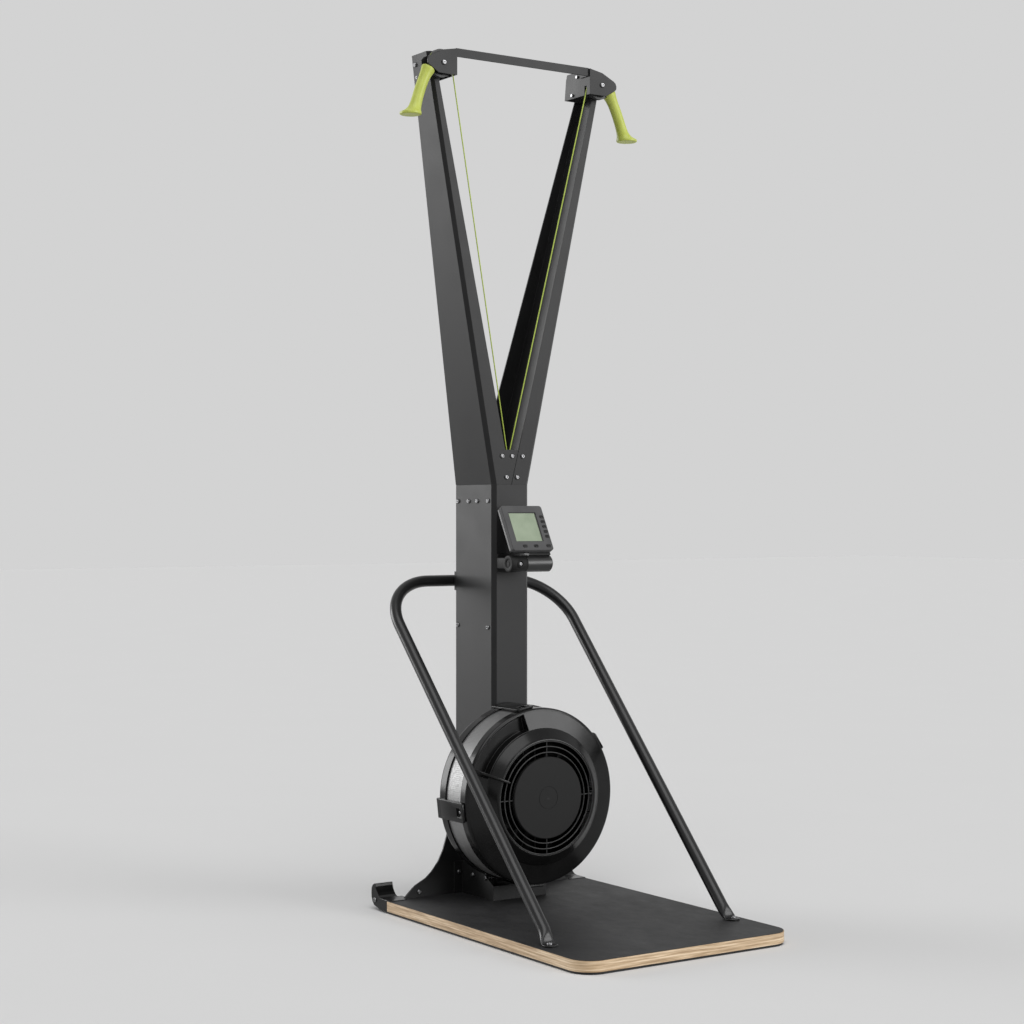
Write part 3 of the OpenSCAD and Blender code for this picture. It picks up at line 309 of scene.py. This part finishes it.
def lcd():
    """Unlit liquid crystal: grey-green, with fine cells and slow clouds."""
    look = Look("screen", 0.3, Coat_Weight=0.15, Coat_Roughness=0.1)
    grid = look.cells(0.45 * MM)
    cloud = look.noise(40 * MM, 3)
    mottle = look.math("ADD", look.math("MULTIPLY", cloud, 0.85), look.math("MULTIPLY", grid, 0.2))
    return look.use(
        Base_Color=look.ramp(mottle, (0.3, (0.195, 0.24, 0.168)), (0.65, (0.257, 0.306, 0.222))),
        Normal=look.bump(grid, 0.05, 0.02 * MM),
    )


def grey(level):
    return (level, level, level)


MATERIALS = {
    "powder_coat": powder_coat(
        "powder_coat", (0.011, 0.011, 0.0113), (0.017, 0.017, 0.0173), (0.09, 0.09, 0.093), rough=0.42),
    "plywood": plywood(),
    "laminate": laminate(),
    "underlay": rubbery("underlay", grey(0.008), grey(0.014), rough=0.75),
    # Its lighter edges are partly a painted highlight along the fan shells' rims
    "black_plastic": moulded(
        "black_plastic", grey(0.004), grey(0.007), rough=0.2, grain=0.1, edge_colour=grey(0.05), shine=0.21,
        edge_size=2.2 * MM),
    "band_mesh": brushed("band_mesh", grey(0.17), grey(0.27), rough=0.45, metallic=0.8),
    "grille_wire": powder_coat("grille_wire", grey(0.02), grey(0.035), grey(0.2), rough=0.35),
    "cap_plastic": moulded("cap_plastic", grey(0.006), grey(0.009), rough=0.55, shine=0.18),
    "pulley_nylon": moulded("pulley_nylon", grey(0.006), grey(0.01), rough=0.4, shine=0.35),
    "bright_steel": brushed("bright_steel", (0.13, 0.13, 0.133), (0.26, 0.26, 0.265), rough=0.27),
    "cast_alloy": brushed("cast_alloy", (0.3, 0.3, 0.31), (0.5, 0.5, 0.51), rough=0.45, metallic=0.9),
    "fan_grey": moulded("fan_grey", grey(0.003), grey(0.005), rough=0.5, shine=0.12),
    "cord_lime": braided("cord_lime", (0.5, 0.62, 0.1), (0.28, 0.36, 0.04)),
    "grip_lime": rubbery(
        "grip_lime", (0.39, 0.44, 0.075), (0.45, 0.50, 0.105), rough=0.42, grain_size=0.7 * MM, shine=0.35),
    # Its lighter edges are partly a painted highlight
    "monitor_grey": moulded(
        "monitor_grey", (0.066, 0.066, 0.067), (0.085, 0.085, 0.086), rough=0.6, edge_colour=grey(0.15), shine=0.1),
    "monitor_black": moulded("monitor_black", grey(0.008), grey(0.013), rough=0.34),
    "screen": lcd(),
    "button_rubber": rubbery(
        "button_rubber", grey(0.006), grey(0.01), rough=0.35, grain_size=0.5 * MM, shine=0.3),
    "tyre_black": rubbery("tyre_black", grey(0.009), grey(0.015), rough=0.6),
}

# The brace has the sheet metal's coat over drawn tube, which is smoother: deeper, with a tighter sheen
TUBE_COAT = powder_coat(
    "powder_coat_tube", (0.006, 0.006, 0.0062), (0.011, 0.011, 0.0113), (0.07, 0.07, 0.072),
    rough=0.3, shine=0.33)


def paint(piece, slot):
    piece.data.materials.clear()
    piece.data.materials.append(MATERIALS[slot])


for name, piece in nodes.items():
    paint(piece, slot_of[name])


# Tools for modelled pieces


def mesh_from(name, points, faces):
    mesh = bpy.data.meshes.new(name)
    mesh.from_pydata(points, [], faces)
    mesh.update()
    return mesh


def new_object(name, mesh, slot):
    piece = bpy.data.objects.new(name, mesh)
    bpy.context.collection.objects.link(piece)
    paint(piece, slot)
    return piece


def place_piece(name, mesh, slot, body):
    """A piece from a mesh in metres, painted and riding on its body."""
    piece = new_object(name, mesh, slot)
    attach(piece, body)
    return piece


def shade_smooth(mesh, crease=40):
    """Smooth shading, with edges sharper than crease degrees kept."""
    mesh.polygons.foreach_set("use_smooth", [True] * len(mesh.polygons))
    mesh.set_sharp_from_angle(angle=math.radians(crease))


def finish_solid(name, shape, slot, body):
    """A piece from the bmesh shape, which is used up."""
    mesh = bpy.data.meshes.new(name)
    shape.to_mesh(mesh)
    shape.free()
    shade_smooth(mesh)
    return place_piece(name, mesh, slot, body)


FOLD = math.radians(20)  # edges that bend more than this are rounded


def rounded_solid(shape, points, faces, width, segments=3):
    """Adds a closed solid with rounded edges to the bmesh shape."""
    verts = [shape.verts.new(point) for point in points]
    made = [shape.faces.new([verts[i] for i in face]) for face in faces]
    bmesh.ops.recalc_face_normals(shape, faces=made)
    folds = [edge for face in made for edge in face.edges if edge.calc_face_angle(0) > FOLD]
    bmesh.ops.bevel(shape, geom=list(dict.fromkeys(folds)), offset=width, segments=segments, profile=0.5,
                    affect="EDGES", clamp_overlap=True)


def prism(outline, at):
    """Points and faces of a prism; at(a, b, side) places an outline point on the side -1 or 1."""
    n = len(outline)
    points = [at(a, b, side) for side in (-1, 1) for a, b in outline]
    walls = [(i, (i + 1) % n, n + (i + 1) % n, n + i) for i in range(n)]
    return points, [tuple(range(n))[::-1], tuple(range(n, 2 * n)), *walls]


def frame_plate(outer, inner, at):
    """Points and faces of a plate with a hole; outer and inner have the same number of points."""
    n = len(outer)
    points = [at(a, b, side) for side in (-1, 1) for ring in (outer, inner) for a, b in ring]
    faces = []
    for i in range(n):
        j = (i + 1) % n
        faces += [(i, j, n + j, n + i), (2 * n + i, 3 * n + i, 3 * n + j, 2 * n + j),
                  (i, 2 * n + i, 2 * n + j, j), (n + i, n + j, 3 * n + j, 3 * n + i)]
    return points, faces


def round_corners(a0, a1, b0, b1, radius, steps=4):
    """The outline of a rectangle from a0, b0 to a1, b1 with round corners."""
    points = []
    for a, b, start in ((a1 - radius, b1 - radius, 0), (a0 + radius, b1 - radius, 90),
                        (a0 + radius, b0 + radius, 180), (a1 - radius, b0 + radius, 270)):
        for k in range(steps + 1):
            turn = math.radians(start + 90 * k / steps)
            points.append((a + radius * math.cos(turn), b + radius * math.sin(turn)))
    return points


def turned(shape, profile, at, sides):
    """Adds a turned solid: profile runs from axis to axis as (along, radius), and at(along, radius, turn)
    gives a point."""
    rings = []
    for along, radius in profile:
        count = sides if radius else 1
        rings.append([shape.verts.new(at(along, radius, math.tau * k / count)) for k in range(count)])
    for a, b in zip(rings, rings[1:]):
        for k in range(sides):
            j = (k + 1) % sides
            loop = [a[k % len(a)], a[j % len(a)], b[j % len(b)], b[k % len(b)]]
            shape.faces.new(list(dict.fromkeys(loop)))


def block(shape, x, y, z, width):
    """Adds a rounded block; x, y and z are its limits, and width the rounding's, in mm."""
    points = [Vector((a, b, c)) * MM for a in x for b in y for c in z]
    faces = [(0, 1, 3, 2), (4, 6, 7, 5), (0, 4, 5, 1), (2, 3, 7, 6), (0, 2, 6, 4), (1, 5, 7, 3)]
    rounded_solid(shape, points, faces, width * MM)


# Handles

SAME_POINT = 0.005 * MM  # points closer than this are joined


def smooth_grip(name):
    """A copy of a CAD grip with its points joined and its curves smooth, in place of it."""
    shape = bmesh.new()
    shape.from_mesh(nodes[name].data)
    bmesh.ops.remove_doubles(shape, verts=shape.verts, dist=SAME_POINT)
    mesh = bpy.data.meshes.new(name + "_smooth")
    shape.to_mesh(mesh)
    shape.free()
    if "custom_normal" in mesh.attributes:
        mesh.attributes.remove(mesh.attributes["custom_normal"])
    shade_smooth(mesh, crease=35)
    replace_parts(place_piece(name + "_smooth", mesh, "grip_lime", name), name)


LEADER_RINGS = 96
LEADER_SIDES = 12


def rope_leaders():
    """The ropes' last stretch, from the pulley into the grip."""
    for side in ("left", "right"):
        low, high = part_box("rope_leader_" + side)
        middle = (low + high) / 2
        radius = (high.x - low.x) / 2
        points, faces = [], []
        for ring in range(LEADER_RINGS + 1):
            z = high.z + (low.z - high.z) * ring / LEADER_RINGS
            for k in range(LEADER_SIDES):
                turn = math.tau * k / LEADER_SIDES
                points.append((middle.x + radius * math.cos(turn), middle.y + radius * math.sin(turn), z))
        for ring in range(LEADER_RINGS):
            for k in range(LEADER_SIDES):
                a = ring * LEADER_SIDES + k
                b = ring * LEADER_SIDES + (k + 1) % LEADER_SIDES
                faces.append((a, a + LEADER_SIDES, b + LEADER_SIDES, b))
        last = LEADER_RINGS * LEADER_SIDES
        faces += [tuple(range(LEADER_SIDES)), tuple(range(last, last + LEADER_SIDES))[::-1]]
        mesh = mesh_from("leader_" + side, points, faces)
        shade_smooth(mesh, crease=60)
        leader = new_object("leader_" + side, mesh, "cord_lime")
        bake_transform(leader)
        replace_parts(leader, "rope_leader_" + side)


# Fan

# The fan's own frame: millimetres out from its axis and forwards from the column's datum, degrees round it
FAN_LOW, FAN_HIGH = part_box("fan_front_shell")
FAN_AXIS = (FAN_LOW + FAN_HIGH) / 2
FAN_RADIUS = (FAN_HIGH.x - FAN_LOW.x) / 2 / MM
FAN_DATUM = 356


def fan_point(radius, forwards, degrees):
    """A place in the fan's own frame as x, y and z in metres."""
    turn = math.radians(degrees)
    x = FAN_AXIS.x + radius * MM * math.cos(turn)
    z = FAN_AXIS.z + radius * MM * math.sin(turn)
    return (x, (FAN_DATUM - forwards) * MM, z)


BAND_HOLES = 288  # round the fan
BAND_ROWS = 15  # across the band
BAND_MARGIN = 4 * MM
BAND_SHEET = 1.1 * MM
BAND_OPEN = 0.3  # hole diameter as a share of the pitch
CELL_CORNERS = ((1, 0), (1, 1), (0, 1), (-1, 1), (-1, 0), (-1, -1), (0, -1), (1, -1))


def perforated_band():
    """Punched steel band between the fan's shells, in place of its plain ring."""
    low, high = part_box("fan_band")
    axis = (low + high) / 2
    outer = (high.x - low.x) / 2
    start, end = low.y + BAND_MARGIN, high.y - BAND_MARGIN
    step_angle = math.tau / BAND_HOLES
    step_y = (end - start) / BAND_ROWS
    layers = ((0, outer), (1, outer - BAND_SHEET))
    corners = len(CELL_CORNERS)
    points, faces, index = [], [], {}

    def point(key, radius, angle, y):
        """The number of the point with this key, which neighbours share; angle is in holes round the fan."""
        if key not in index:
            index[key] = len(points)
            turn = angle * step_angle
            points.append((axis.x + radius * math.cos(turn), y, axis.z + radius * math.sin(turn)))
        return index[key]

    for column in range(BAND_HOLES):
        for row in range(BAND_ROWS):
            holes = []
            for layer, radius in layers:
                square, hole = [], []
                for dx, dy in CELL_CORNERS:
                    at = (2 * column + 1 + dx) % (2 * BAND_HOLES), 2 * row + 1 + dy
                    square.append(point((layer, *at), radius, at[0] / 2, start + at[1] * step_y / 2))
                    reach = BAND_OPEN / 2 / math.hypot(dx, dy)
                    hole.append(point((layer, column, row, dx, dy, "hole"), radius,
                                      column + 0.5 + dx * reach, start + (row + 0.5 + dy * reach) * step_y))
                holes.append(hole)
                for i in range(corners):
                    j = (i + 1) % corners
                    face = (square[i], square[j], hole[j], hole[i])
                    faces.append(face if layer else face[::-1])
            for i in range(corners):
                j = (i + 1) % corners
                faces.append((holes[0][i], holes[0][j], holes[1][j], holes[1][i]))
    for side, row, edge in ((0, 0, low.y), (1, 2 * BAND_ROWS, high.y)):
        for half in range(2 * BAND_HOLES):
            after = (half + 1) % (2 * BAND_HOLES)
            inner, rim = [], []
            for layer, radius in layers:
                for at in (half, after):
                    inner.append(index[(layer, at, row)])
                    rim.append(point((layer, at, side, "rim"), radius, at / 2, edge))
            quads = [(inner[0], inner[1], rim[1], rim[0]), (rim[0], rim[1], rim[3], rim[2]),
                     (rim[2], rim[3], inner[3], inner[2])]
            faces.extend(quad if side else quad[::-1] for quad in quads)
    mesh = mesh_from("band_perforated", points, faces)
    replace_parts(place_piece("band_perforated", mesh, "band_mesh", "frame"), "fan_band")


# Straps, in mm and degrees; forwards is from the column's datum, out is from the fan's radius
STRAP_ANGLES = (34, 100, 186.5, 268)
STRAP_HALF = 24  # half width round the rim
STRAP_BACK = 108  # where the hook grips the rear shell's rim
STRAP_BAND = 141.4  # where the pocket's floor starts
STRAP_FRONT = 225
STRAP_HOOK = ((-16, -3.5), (3, -3.5), (6, -2), (7.5, 1), (7.5, 16), (2.3, 16), (2.3, 9.9), (1.3, 5.7),
              (-3.8, 1.6), (-16, -0.3))  # out, and forwards from STRAP_BACK
HOOK_OVERLAP = 9
PLATE_OUT = 4.9  # middle of the outer plate, which has the pocket
PLATE_HALF = 2.6
PLATE_CORNER = 6
POCKET_HALF = 10.5
POCKET_ENDS = (27, 5)  # back from STRAP_FRONT
POCKET_CORNER = 3
FLOOR_OUT = 1.9  # middle of the inner plate, the pocket's floor
FLOOR_HALF = 1.5
FLOOR_SIDE = 2.5
FLOOR_END = 1.5
HOOK_ROUNDING, PLATE_ROUNDING, FLOOR_ROUNDING = 2.4 * MM, 2.2 * MM, 0.8 * MM


def housing_straps():
    """Straps that hook the rear shell's rim and screw to the front shell, with a sunk screw pocket."""
    hook = [(out, STRAP_BACK + forwards) for out, forwards in STRAP_HOOK]
    plate = round_corners(-STRAP_HALF, STRAP_HALF, STRAP_BACK + HOOK_OVERLAP, STRAP_FRONT, PLATE_CORNER)
    back, front = (STRAP_FRONT - end for end in POCKET_ENDS)
    pocket = round_corners(-POCKET_HALF, POCKET_HALF, back, front, POCKET_CORNER)
    side, end = STRAP_HALF - FLOOR_SIDE, STRAP_FRONT - FLOOR_END
    floor = [(-side, STRAP_BAND), (side, STRAP_BAND), (side, end), (-side, end)]
    shape = bmesh.new()
    for angle in STRAP_ANGLES:

        def rim_point(out, forwards, sideways):
            return fan_point(FAN_RADIUS + out, forwards, angle + math.degrees(sideways / FAN_RADIUS))

        def hook_point(out, forwards, layer):
            return rim_point(out, forwards, layer * STRAP_HALF)

        def plate_point(sideways, forwards, layer):
            return rim_point(PLATE_OUT + layer * PLATE_HALF, forwards, sideways)

        def floor_point(sideways, forwards, layer):
            return rim_point(FLOOR_OUT + layer * FLOOR_HALF, forwards, sideways)

        rounded_solid(shape, *prism(hook, hook_point), HOOK_ROUNDING)
        rounded_solid(shape, *frame_plate(plate, pocket, plate_point), PLATE_ROUNDING)
        rounded_solid(shape, *prism(floor, floor_point), FLOOR_ROUNDING)
    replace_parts(finish_solid("housing_straps", shape, "black_plastic", "frame"), "housing_clips")


LEVER_ANGLE = 158.5
LEVER_HALF = 3.3  # half thickness, mm
LEVER_SINK = 7  # depth of the sunk sector that it turns in, mm
LEVER_ROUNDING = 2.2 * MM
# Side view of the lever, from its foot on the rim over its top to the ring and back: out from LEVER_SINK
# inside the fan's radius, and forwards from the column's datum
LEVER = ((-0.9, 221), (-0.9, 226), (-3.4, 236.4), (-9.5, 246.6), (-16.7, 253.2), (-27, 257.8), (-43, 262.3),
         (-61, 267.3), (-75, 269.5), (-85, 269.55), (-87, 266.6), (-68, 265.4), (-63, 263.8), (-42, 247.9),
         (-31, 242.8), (-18, 236.8), (-9.7, 228.6), (-7, 221))


def lever_blade():
    """Thick moulded blade over the damper lever's web, with rounded edges."""
    turn = math.radians(LEVER_ANGLE)

    def at(out, forwards, side):
        x, y, z = fan_point(FAN_RADIUS - LEVER_SINK + out, forwards, LEVER_ANGLE)
        aside = side * LEVER_HALF * MM
        return (x - aside * math.sin(turn), y, z + aside * math.cos(turn))

    shape = bmesh.new()
    rounded_solid(shape, *prism(LEVER, at), LEVER_ROUNDING, segments=4)
    finish_solid("lever_blade", shape, "black_plastic", "damper")


# Monitor

# A black band that stands in for the shade the window's recess casts on the screen: painted shade
SHADE_BAND_SIDE = 1.2 * MM
SHADE_BAND_RIGHT = 2.6 * MM
SHADE_BAND_FOOT = 0.05 * MM  # gap over the screen's glass
SHADE_BAND_RAISE = 1.2 * MM
SCREEN_FLATNESS = 0.01 * MM  # points this near the front belong to the glass
LOOKS_FORWARDS = -0.5  # a face looks forwards when its normal's y is below this


def screen_shade_band():
    """Black band round the inside of the display's window, wider on the buttons' side: painted shade of the
    window's recess, laid over the screen.
    """
    mesh = nodes["monitor_screen"].data
    forwards = [face for face in mesh.polygons if face.normal.y < LOOKS_FORWARDS]
    front = max(forwards, key=lambda face: face.area).normal.copy()
    across = Vector((1, 0, 0))
    up = front.cross(across).normalized()
    depth = max(front.dot(v.co) for v in mesh.vertices)
    flat = [v.co for v in mesh.vertices if front.dot(v.co) > depth - SCREEN_FLATNESS]
    x0, x1 = min(p.x for p in flat), max(p.x for p in flat)
    z0, z1 = min(up.dot(p) for p in flat), max(up.dot(p) for p in flat)
    points, faces = [], []
    for share, height in ((0, SHADE_BAND_FOOT), (0, SHADE_BAND_RAISE), (1, SHADE_BAND_RAISE), (1, SHADE_BAND_FOOT)):
        side, right = share * SHADE_BAND_SIDE, share * SHADE_BAND_RIGHT
        left_x, right_x = x0 + side, x1 - right
        foot_z, top_z = z0 + side, z1 - side
        for x, z in ((left_x, foot_z), (right_x, foot_z), (right_x, top_z), (left_x, top_z)):
            points.append(across * x + up * z + front * (depth + height))
    for ring in range(4):
        for side in range(4):
            a, b = ring * 4 + side, ring * 4 + (side + 1) % 4
            faces.append((a, b, (b + 4) % len(points), (a + 4) % len(points)))
    place_piece("screen_shade_band", mesh_from("screen_shade_band", points, faces), "monitor_black", "monitor")


# The monitor's arm, in mm
HINGE_Y = 176.0
HINGE_Z = 869.5
HINGE_EYE = ((-61.2, 0), (-61.2, 5.6), (-60.2, 6.6), (-60.2, 9.4), (-61.4, 10.4), (-62, 11.2), (-62, 18.6),
             (-61.4, 20.2), (-60, 21), (-16.2, 21), (-15, 20), (-15, 0))  # along x, and out from the hinge
CLAMP_X = -38
CLAMP_BOSS = ((157, 0), (157, 5.8), (154, 6.2), (153, 7), (153, 8.3), (154.2, 9.5), (174, 9.5),
              (174, 0))  # along y, and out from the screw
BAR_X = (-47, -24)
BAR_Y = (HINGE_Y + 3, 249.5)
BAR_Z = (HINGE_Z - 14, HINGE_Z + 14)
BAR_ROUNDING = 2.5
FLANGE_X = (-44, 24)
FLANGE_Y = (248.5, 252)
FLANGE_Z = (HINGE_Z - 23, HINGE_Z + 23)
FLANGE_ROUNDING = 1.0


def monitor_lug():
    """The monitor's arm with turned eye, clamp boss and rounded edges, in place of the plain one."""

    def eye_point(along, radius, turn):
        return Vector((along, HINGE_Y + radius * math.cos(turn), HINGE_Z + radius * math.sin(turn))) * MM

    def boss_point(along, radius, turn):
        return Vector((CLAMP_X + radius * math.cos(turn), along, HINGE_Z + radius * math.sin(turn))) * MM

    shape = bmesh.new()
    turned(shape, HINGE_EYE, eye_point, sides=64)
    turned(shape, CLAMP_BOSS, boss_point, sides=40)
    block(shape, BAR_X, BAR_Y, BAR_Z, BAR_ROUNDING)
    block(shape, FLANGE_X, FLANGE_Y, FLANGE_Z, FLANGE_ROUNDING)
    bmesh.ops.recalc_face_normals(shape, faces=shape.faces)
    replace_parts(finish_solid("monitor_lug", shape, "cap_plastic", "frame"), "monitor_arm")


# Brace, in mm and degrees

BRACE_TOP_Y, BRACE_TOP_Z = 452.5, 820.5  # the tube's axis behind the column
BRACE_FOOT_Y, BRACE_FOOT_Z = -276.0, 45.5
BRACE_CORNER = 268.0  # x where the lines of the straight stretches would meet
BRACE_BEND = 142.0  # radius of the bend
BRACE_TOE_IN = 10.4  # how far the leg comes in towards its foot
BRACE_CLAMPED = (0.2, 30, 60, 90)  # rings of the straight stretch behind the column, by x
BEND_STEPS = 24
LEG_STEPS = 12
TAB_STEPS = 4
TUBE = 14.5  # the tube's radius
TUBE_SIDES = 48
ROUND = 2.0  # squareness of a round ring
# The pressed foot: centre x, y, z, half width, half thickness, lean of the thickness from upright, squareness
BRACE_TAB = ((257.9, -259.0, 63.7, 14.5, 14.5, 46.8, 2.0), (258.6, -266.0, 55.5, 15.0, 14.0, 44, 2.0),
             (260.3, -273.5, 46.6, 16.2, 11.8, 36, 2.2), (262.2, -280.0, 39.2, 17.2, 7.2, 20, 2.8),
             (263.3, -285.0, 35.2, 17.5, 3.6, 6, 3.4), (263.5, -289.0, 34.1, 17.5, 2.6, 0, 4.0),
             (263.5, -294.0, 34.0, 17.5, 2.5, 0, 4.0), (263.5, -299.5, 34.0, 16.6, 2.5, 0, 4.0),
             (263.5, -304.5, 34.0, 14.0, 2.5, 0, 4.0), (263.5, -308.5, 34.0, 9.8, 2.45, 0, 4.0),
             (263.5, -310.8, 34.0, 5.2, 2.0, 0, 3.0))


def smooth_step(p, q, r, v, t):
    """The value at share t between q and r on a smooth curve through p, q, r and v."""
    straight = 2 * q + (r - p) * t
    return 0.5 * (straight + (2 * p - 5 * q + 4 * r - v) * t ** 2 + (3 * q - p - 3 * r + v) * t ** 3)


def brace_rings():
    """Rings of the right half: centre, directions of width and thickness, half of each, and squareness."""
    drop, run = BRACE_TOP_Z - BRACE_FOOT_Z, BRACE_TOP_Y - BRACE_FOOT_Y
    lean = math.atan2(run, drop)
    bend = math.pi / 2 + math.atan2(BRACE_TOE_IN, math.hypot(run, drop))
    start = BRACE_CORNER - BRACE_BEND * math.tan(bend / 2)
    up = Vector((0, math.sin(lean), math.cos(lean)))
    face = Vector((0, -math.cos(lean), math.sin(lean)))
    across = Vector((1, 0, 0))
    top = Vector((0, BRACE_TOP_Y, BRACE_TOP_Z))
    rings = []
    for x in (*BRACE_CLAMPED, start):
        rings.append((top + across * x, up, face, TUBE, TUBE, ROUND))
    for step in range(1, BEND_STEPS + 1):
        turn = bend * step / BEND_STEPS
        along = across * (start + BRACE_BEND * math.sin(turn))
        centre = top + along - up * BRACE_BEND * (1 - math.cos(turn))
        rings.append((centre, across * math.sin(turn) + up * math.cos(turn), face, TUBE, TUBE, ROUND))
    bend_end, width = rings[-1][0], rings[-1][1]
    tab_start = Vector(BRACE_TAB[0][:3])
    for step in range(1, LEG_STEPS):
        rings.append((bend_end.lerp(tab_start, step / LEG_STEPS), width, face, TUBE, TUBE, ROUND))
    last = len(BRACE_TAB) - 1
    for i in range(last):
        around = [BRACE_TAB[min(max(i + k, 0), last)] for k in (-1, 0, 1, 2)]
        for step in range(TAB_STEPS):
            share = step / TAB_STEPS
            x, y, z, w, h, tilt, power = (smooth_step(*four, share) for four in zip(*around))
            tilt = math.radians(tilt)
            thickness = Vector((0, -math.sin(tilt), math.cos(tilt)))
            rings.append((Vector((x, y, z)), across, thickness, w, h, power))
    return rings


def squared(value, power):
    """A sine or cosine pushed outwards, so that a ring gets squarer as power grows past 2."""
    return math.copysign(abs(value) ** (2 / power), value)


def brace_tubes():
    """The brace's two halves as one smooth sweep each, pressed flat into a round tab at the foot."""
    n = TUBE_SIDES
    rings = brace_rings()
    for side, name in ((-1, "left"), (1, "right")):
        points, faces = [], []
        for centre, wide, thick, w, h, power in rings:
            for k in range(n):
                turn = math.tau * k / n
                reach = wide * w * squared(math.cos(turn), power) + thick * h * squared(math.sin(turn), power)
                place = (centre + reach) * MM
                points.append((side * place.x, place.y, place.z))
        for i in range(len(rings) - 1):
            for k in range(n):
                j = (k + 1) % n
                faces.append((i * n + k, i * n + j, (i + 1) * n + j, (i + 1) * n + k))
        end = (len(rings) - 1) * n
        faces += [tuple(range(n))[::-1], tuple(range(end, end + n))]
        if side < 0:
            faces = [face[::-1] for face in faces]
        mesh = mesh_from("brace_tube_" + name, points, faces)
        shade_smooth(mesh)
        tube = place_piece("brace_tube_" + name, mesh, "powder_coat", "frame")
        mesh.materials[0] = TUBE_COAT
        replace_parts(tube, "brace_" + name)


perforated_band()
rope_leaders()
# Painted shade round the screen
screen_shade_band()
housing_straps()
lever_blade()
smooth_grip("handle_left")
smooth_grip("handle_right")
monitor_lug()
brace_tubes()


# Studio

BACKDROP = 0.651
FILL = 0.29  # the world's light on the object
FLOOR_SIZE = 60.0
FLOOR_MOTTLE = 0.004
# Name, compass clockwise from +Y, height above the floor, strength and apparent width; angles in degrees
LAMPS = (("top", 205, 60, 1.82, 50), ("left", 326, 10, 1.9, 34), ("right", 146, 10, 1.9, 34))
# The photograph's camera, solved from the deck's and column's edges
CAMERA_PLACE = (-2.847, -3.982, 0.9977)
CAMERA_HEADING = 33.93  # degrees clockwise from +Y
PHOTO_FOCAL, PHOTO_WIDTH = 2024.03, 1024  # pixels
SENSOR_WIDTH = 36.0
CAMERA_REACH = 200


def studio_world():
    """A backdrop that is seen and mirrored at its own grey, and a darker fill light on the object."""
    world = bpy.data.worlds.new("studio")
    bpy.context.scene.world = world
    world.use_nodes = True
    tree = world.node_tree
    tree.nodes.clear()
    out = tree.nodes.new("ShaderNodeOutputWorld")
    seen, fill = (tree.nodes.new("ShaderNodeBackground") for _ in range(2))
    seen.inputs["Color"].default_value = (*grey(BACKDROP), 1)
    fill.inputs["Color"].default_value = (*grey(FILL), 1)
    path = tree.nodes.new("ShaderNodeLightPath")
    direct = path.outputs["Is Camera Ray"]
    for key in ("Is Glossy Ray", "Is Transmission Ray"):
        most = tree.nodes.new("ShaderNodeMath")
        most.operation = "MAXIMUM"
        tree.links.new(direct, most.inputs[0])
        tree.links.new(path.outputs[key], most.inputs[1])
        direct = most.outputs[0]
    mix = tree.nodes.new("ShaderNodeMixShader")
    tree.links.new(direct, mix.inputs[0])
    tree.links.new(fill.outputs[0], mix.inputs[1])
    tree.links.new(seen.outputs[0], mix.inputs[2])
    tree.links.new(mix.outputs[0], out.inputs[0])


def studio_floor():
    h = FLOOR_SIZE / 2
    mesh = mesh_from("floor", [(-h, -h, 0), (h, -h, 0), (h, h, 0), (-h, h, 0)], [(0, 1, 2, 3)])
    floor = bpy.data.objects.new("floor", mesh)
    bpy.context.collection.objects.link(floor)
    look = Look("floor", 0.9, Specular_IOR_Level=0.0)
    mottle = look.noise(0.4, 2)
    look.use(Base_Color=look.ramp(mottle, (0.3, grey(BACKDROP)), (0.7, grey(BACKDROP + FLOOR_MOTTLE))))
    mesh.materials.append(look.material)


def sky_lamp(name, compass, height, strength, width):
    """A far soft lamp, with the values that LAMPS gives."""
    data = bpy.data.lights.new(name, "SUN")
    data.energy = strength
    data.angle = math.radians(width)
    lamp = bpy.data.objects.new(name, data)
    lamp.rotation_euler = (math.radians(height - 90), 0, -math.radians(compass))
    lamp.visible_camera = False
    bpy.context.collection.objects.link(lamp)


def photo_camera():
    """Level, with its principal point in the middle of the frame."""
    data = bpy.data.cameras.new("camera")
    data.sensor_width = SENSOR_WIDTH
    data.lens = SENSOR_WIDTH * PHOTO_FOCAL / PHOTO_WIDTH
    data.clip_end = CAMERA_REACH
    camera = bpy.data.objects.new("camera", data)
    camera.location = CAMERA_PLACE
    camera.rotation_euler = (math.pi / 2, 0, -math.radians(CAMERA_HEADING))
    bpy.context.collection.objects.link(camera)
    bpy.context.scene.camera = camera


studio_world()
studio_floor()
for lamp in LAMPS:
    sky_lamp(*lamp)
photo_camera()
bpy.context.scene.view_settings.view_transform = "Standard"
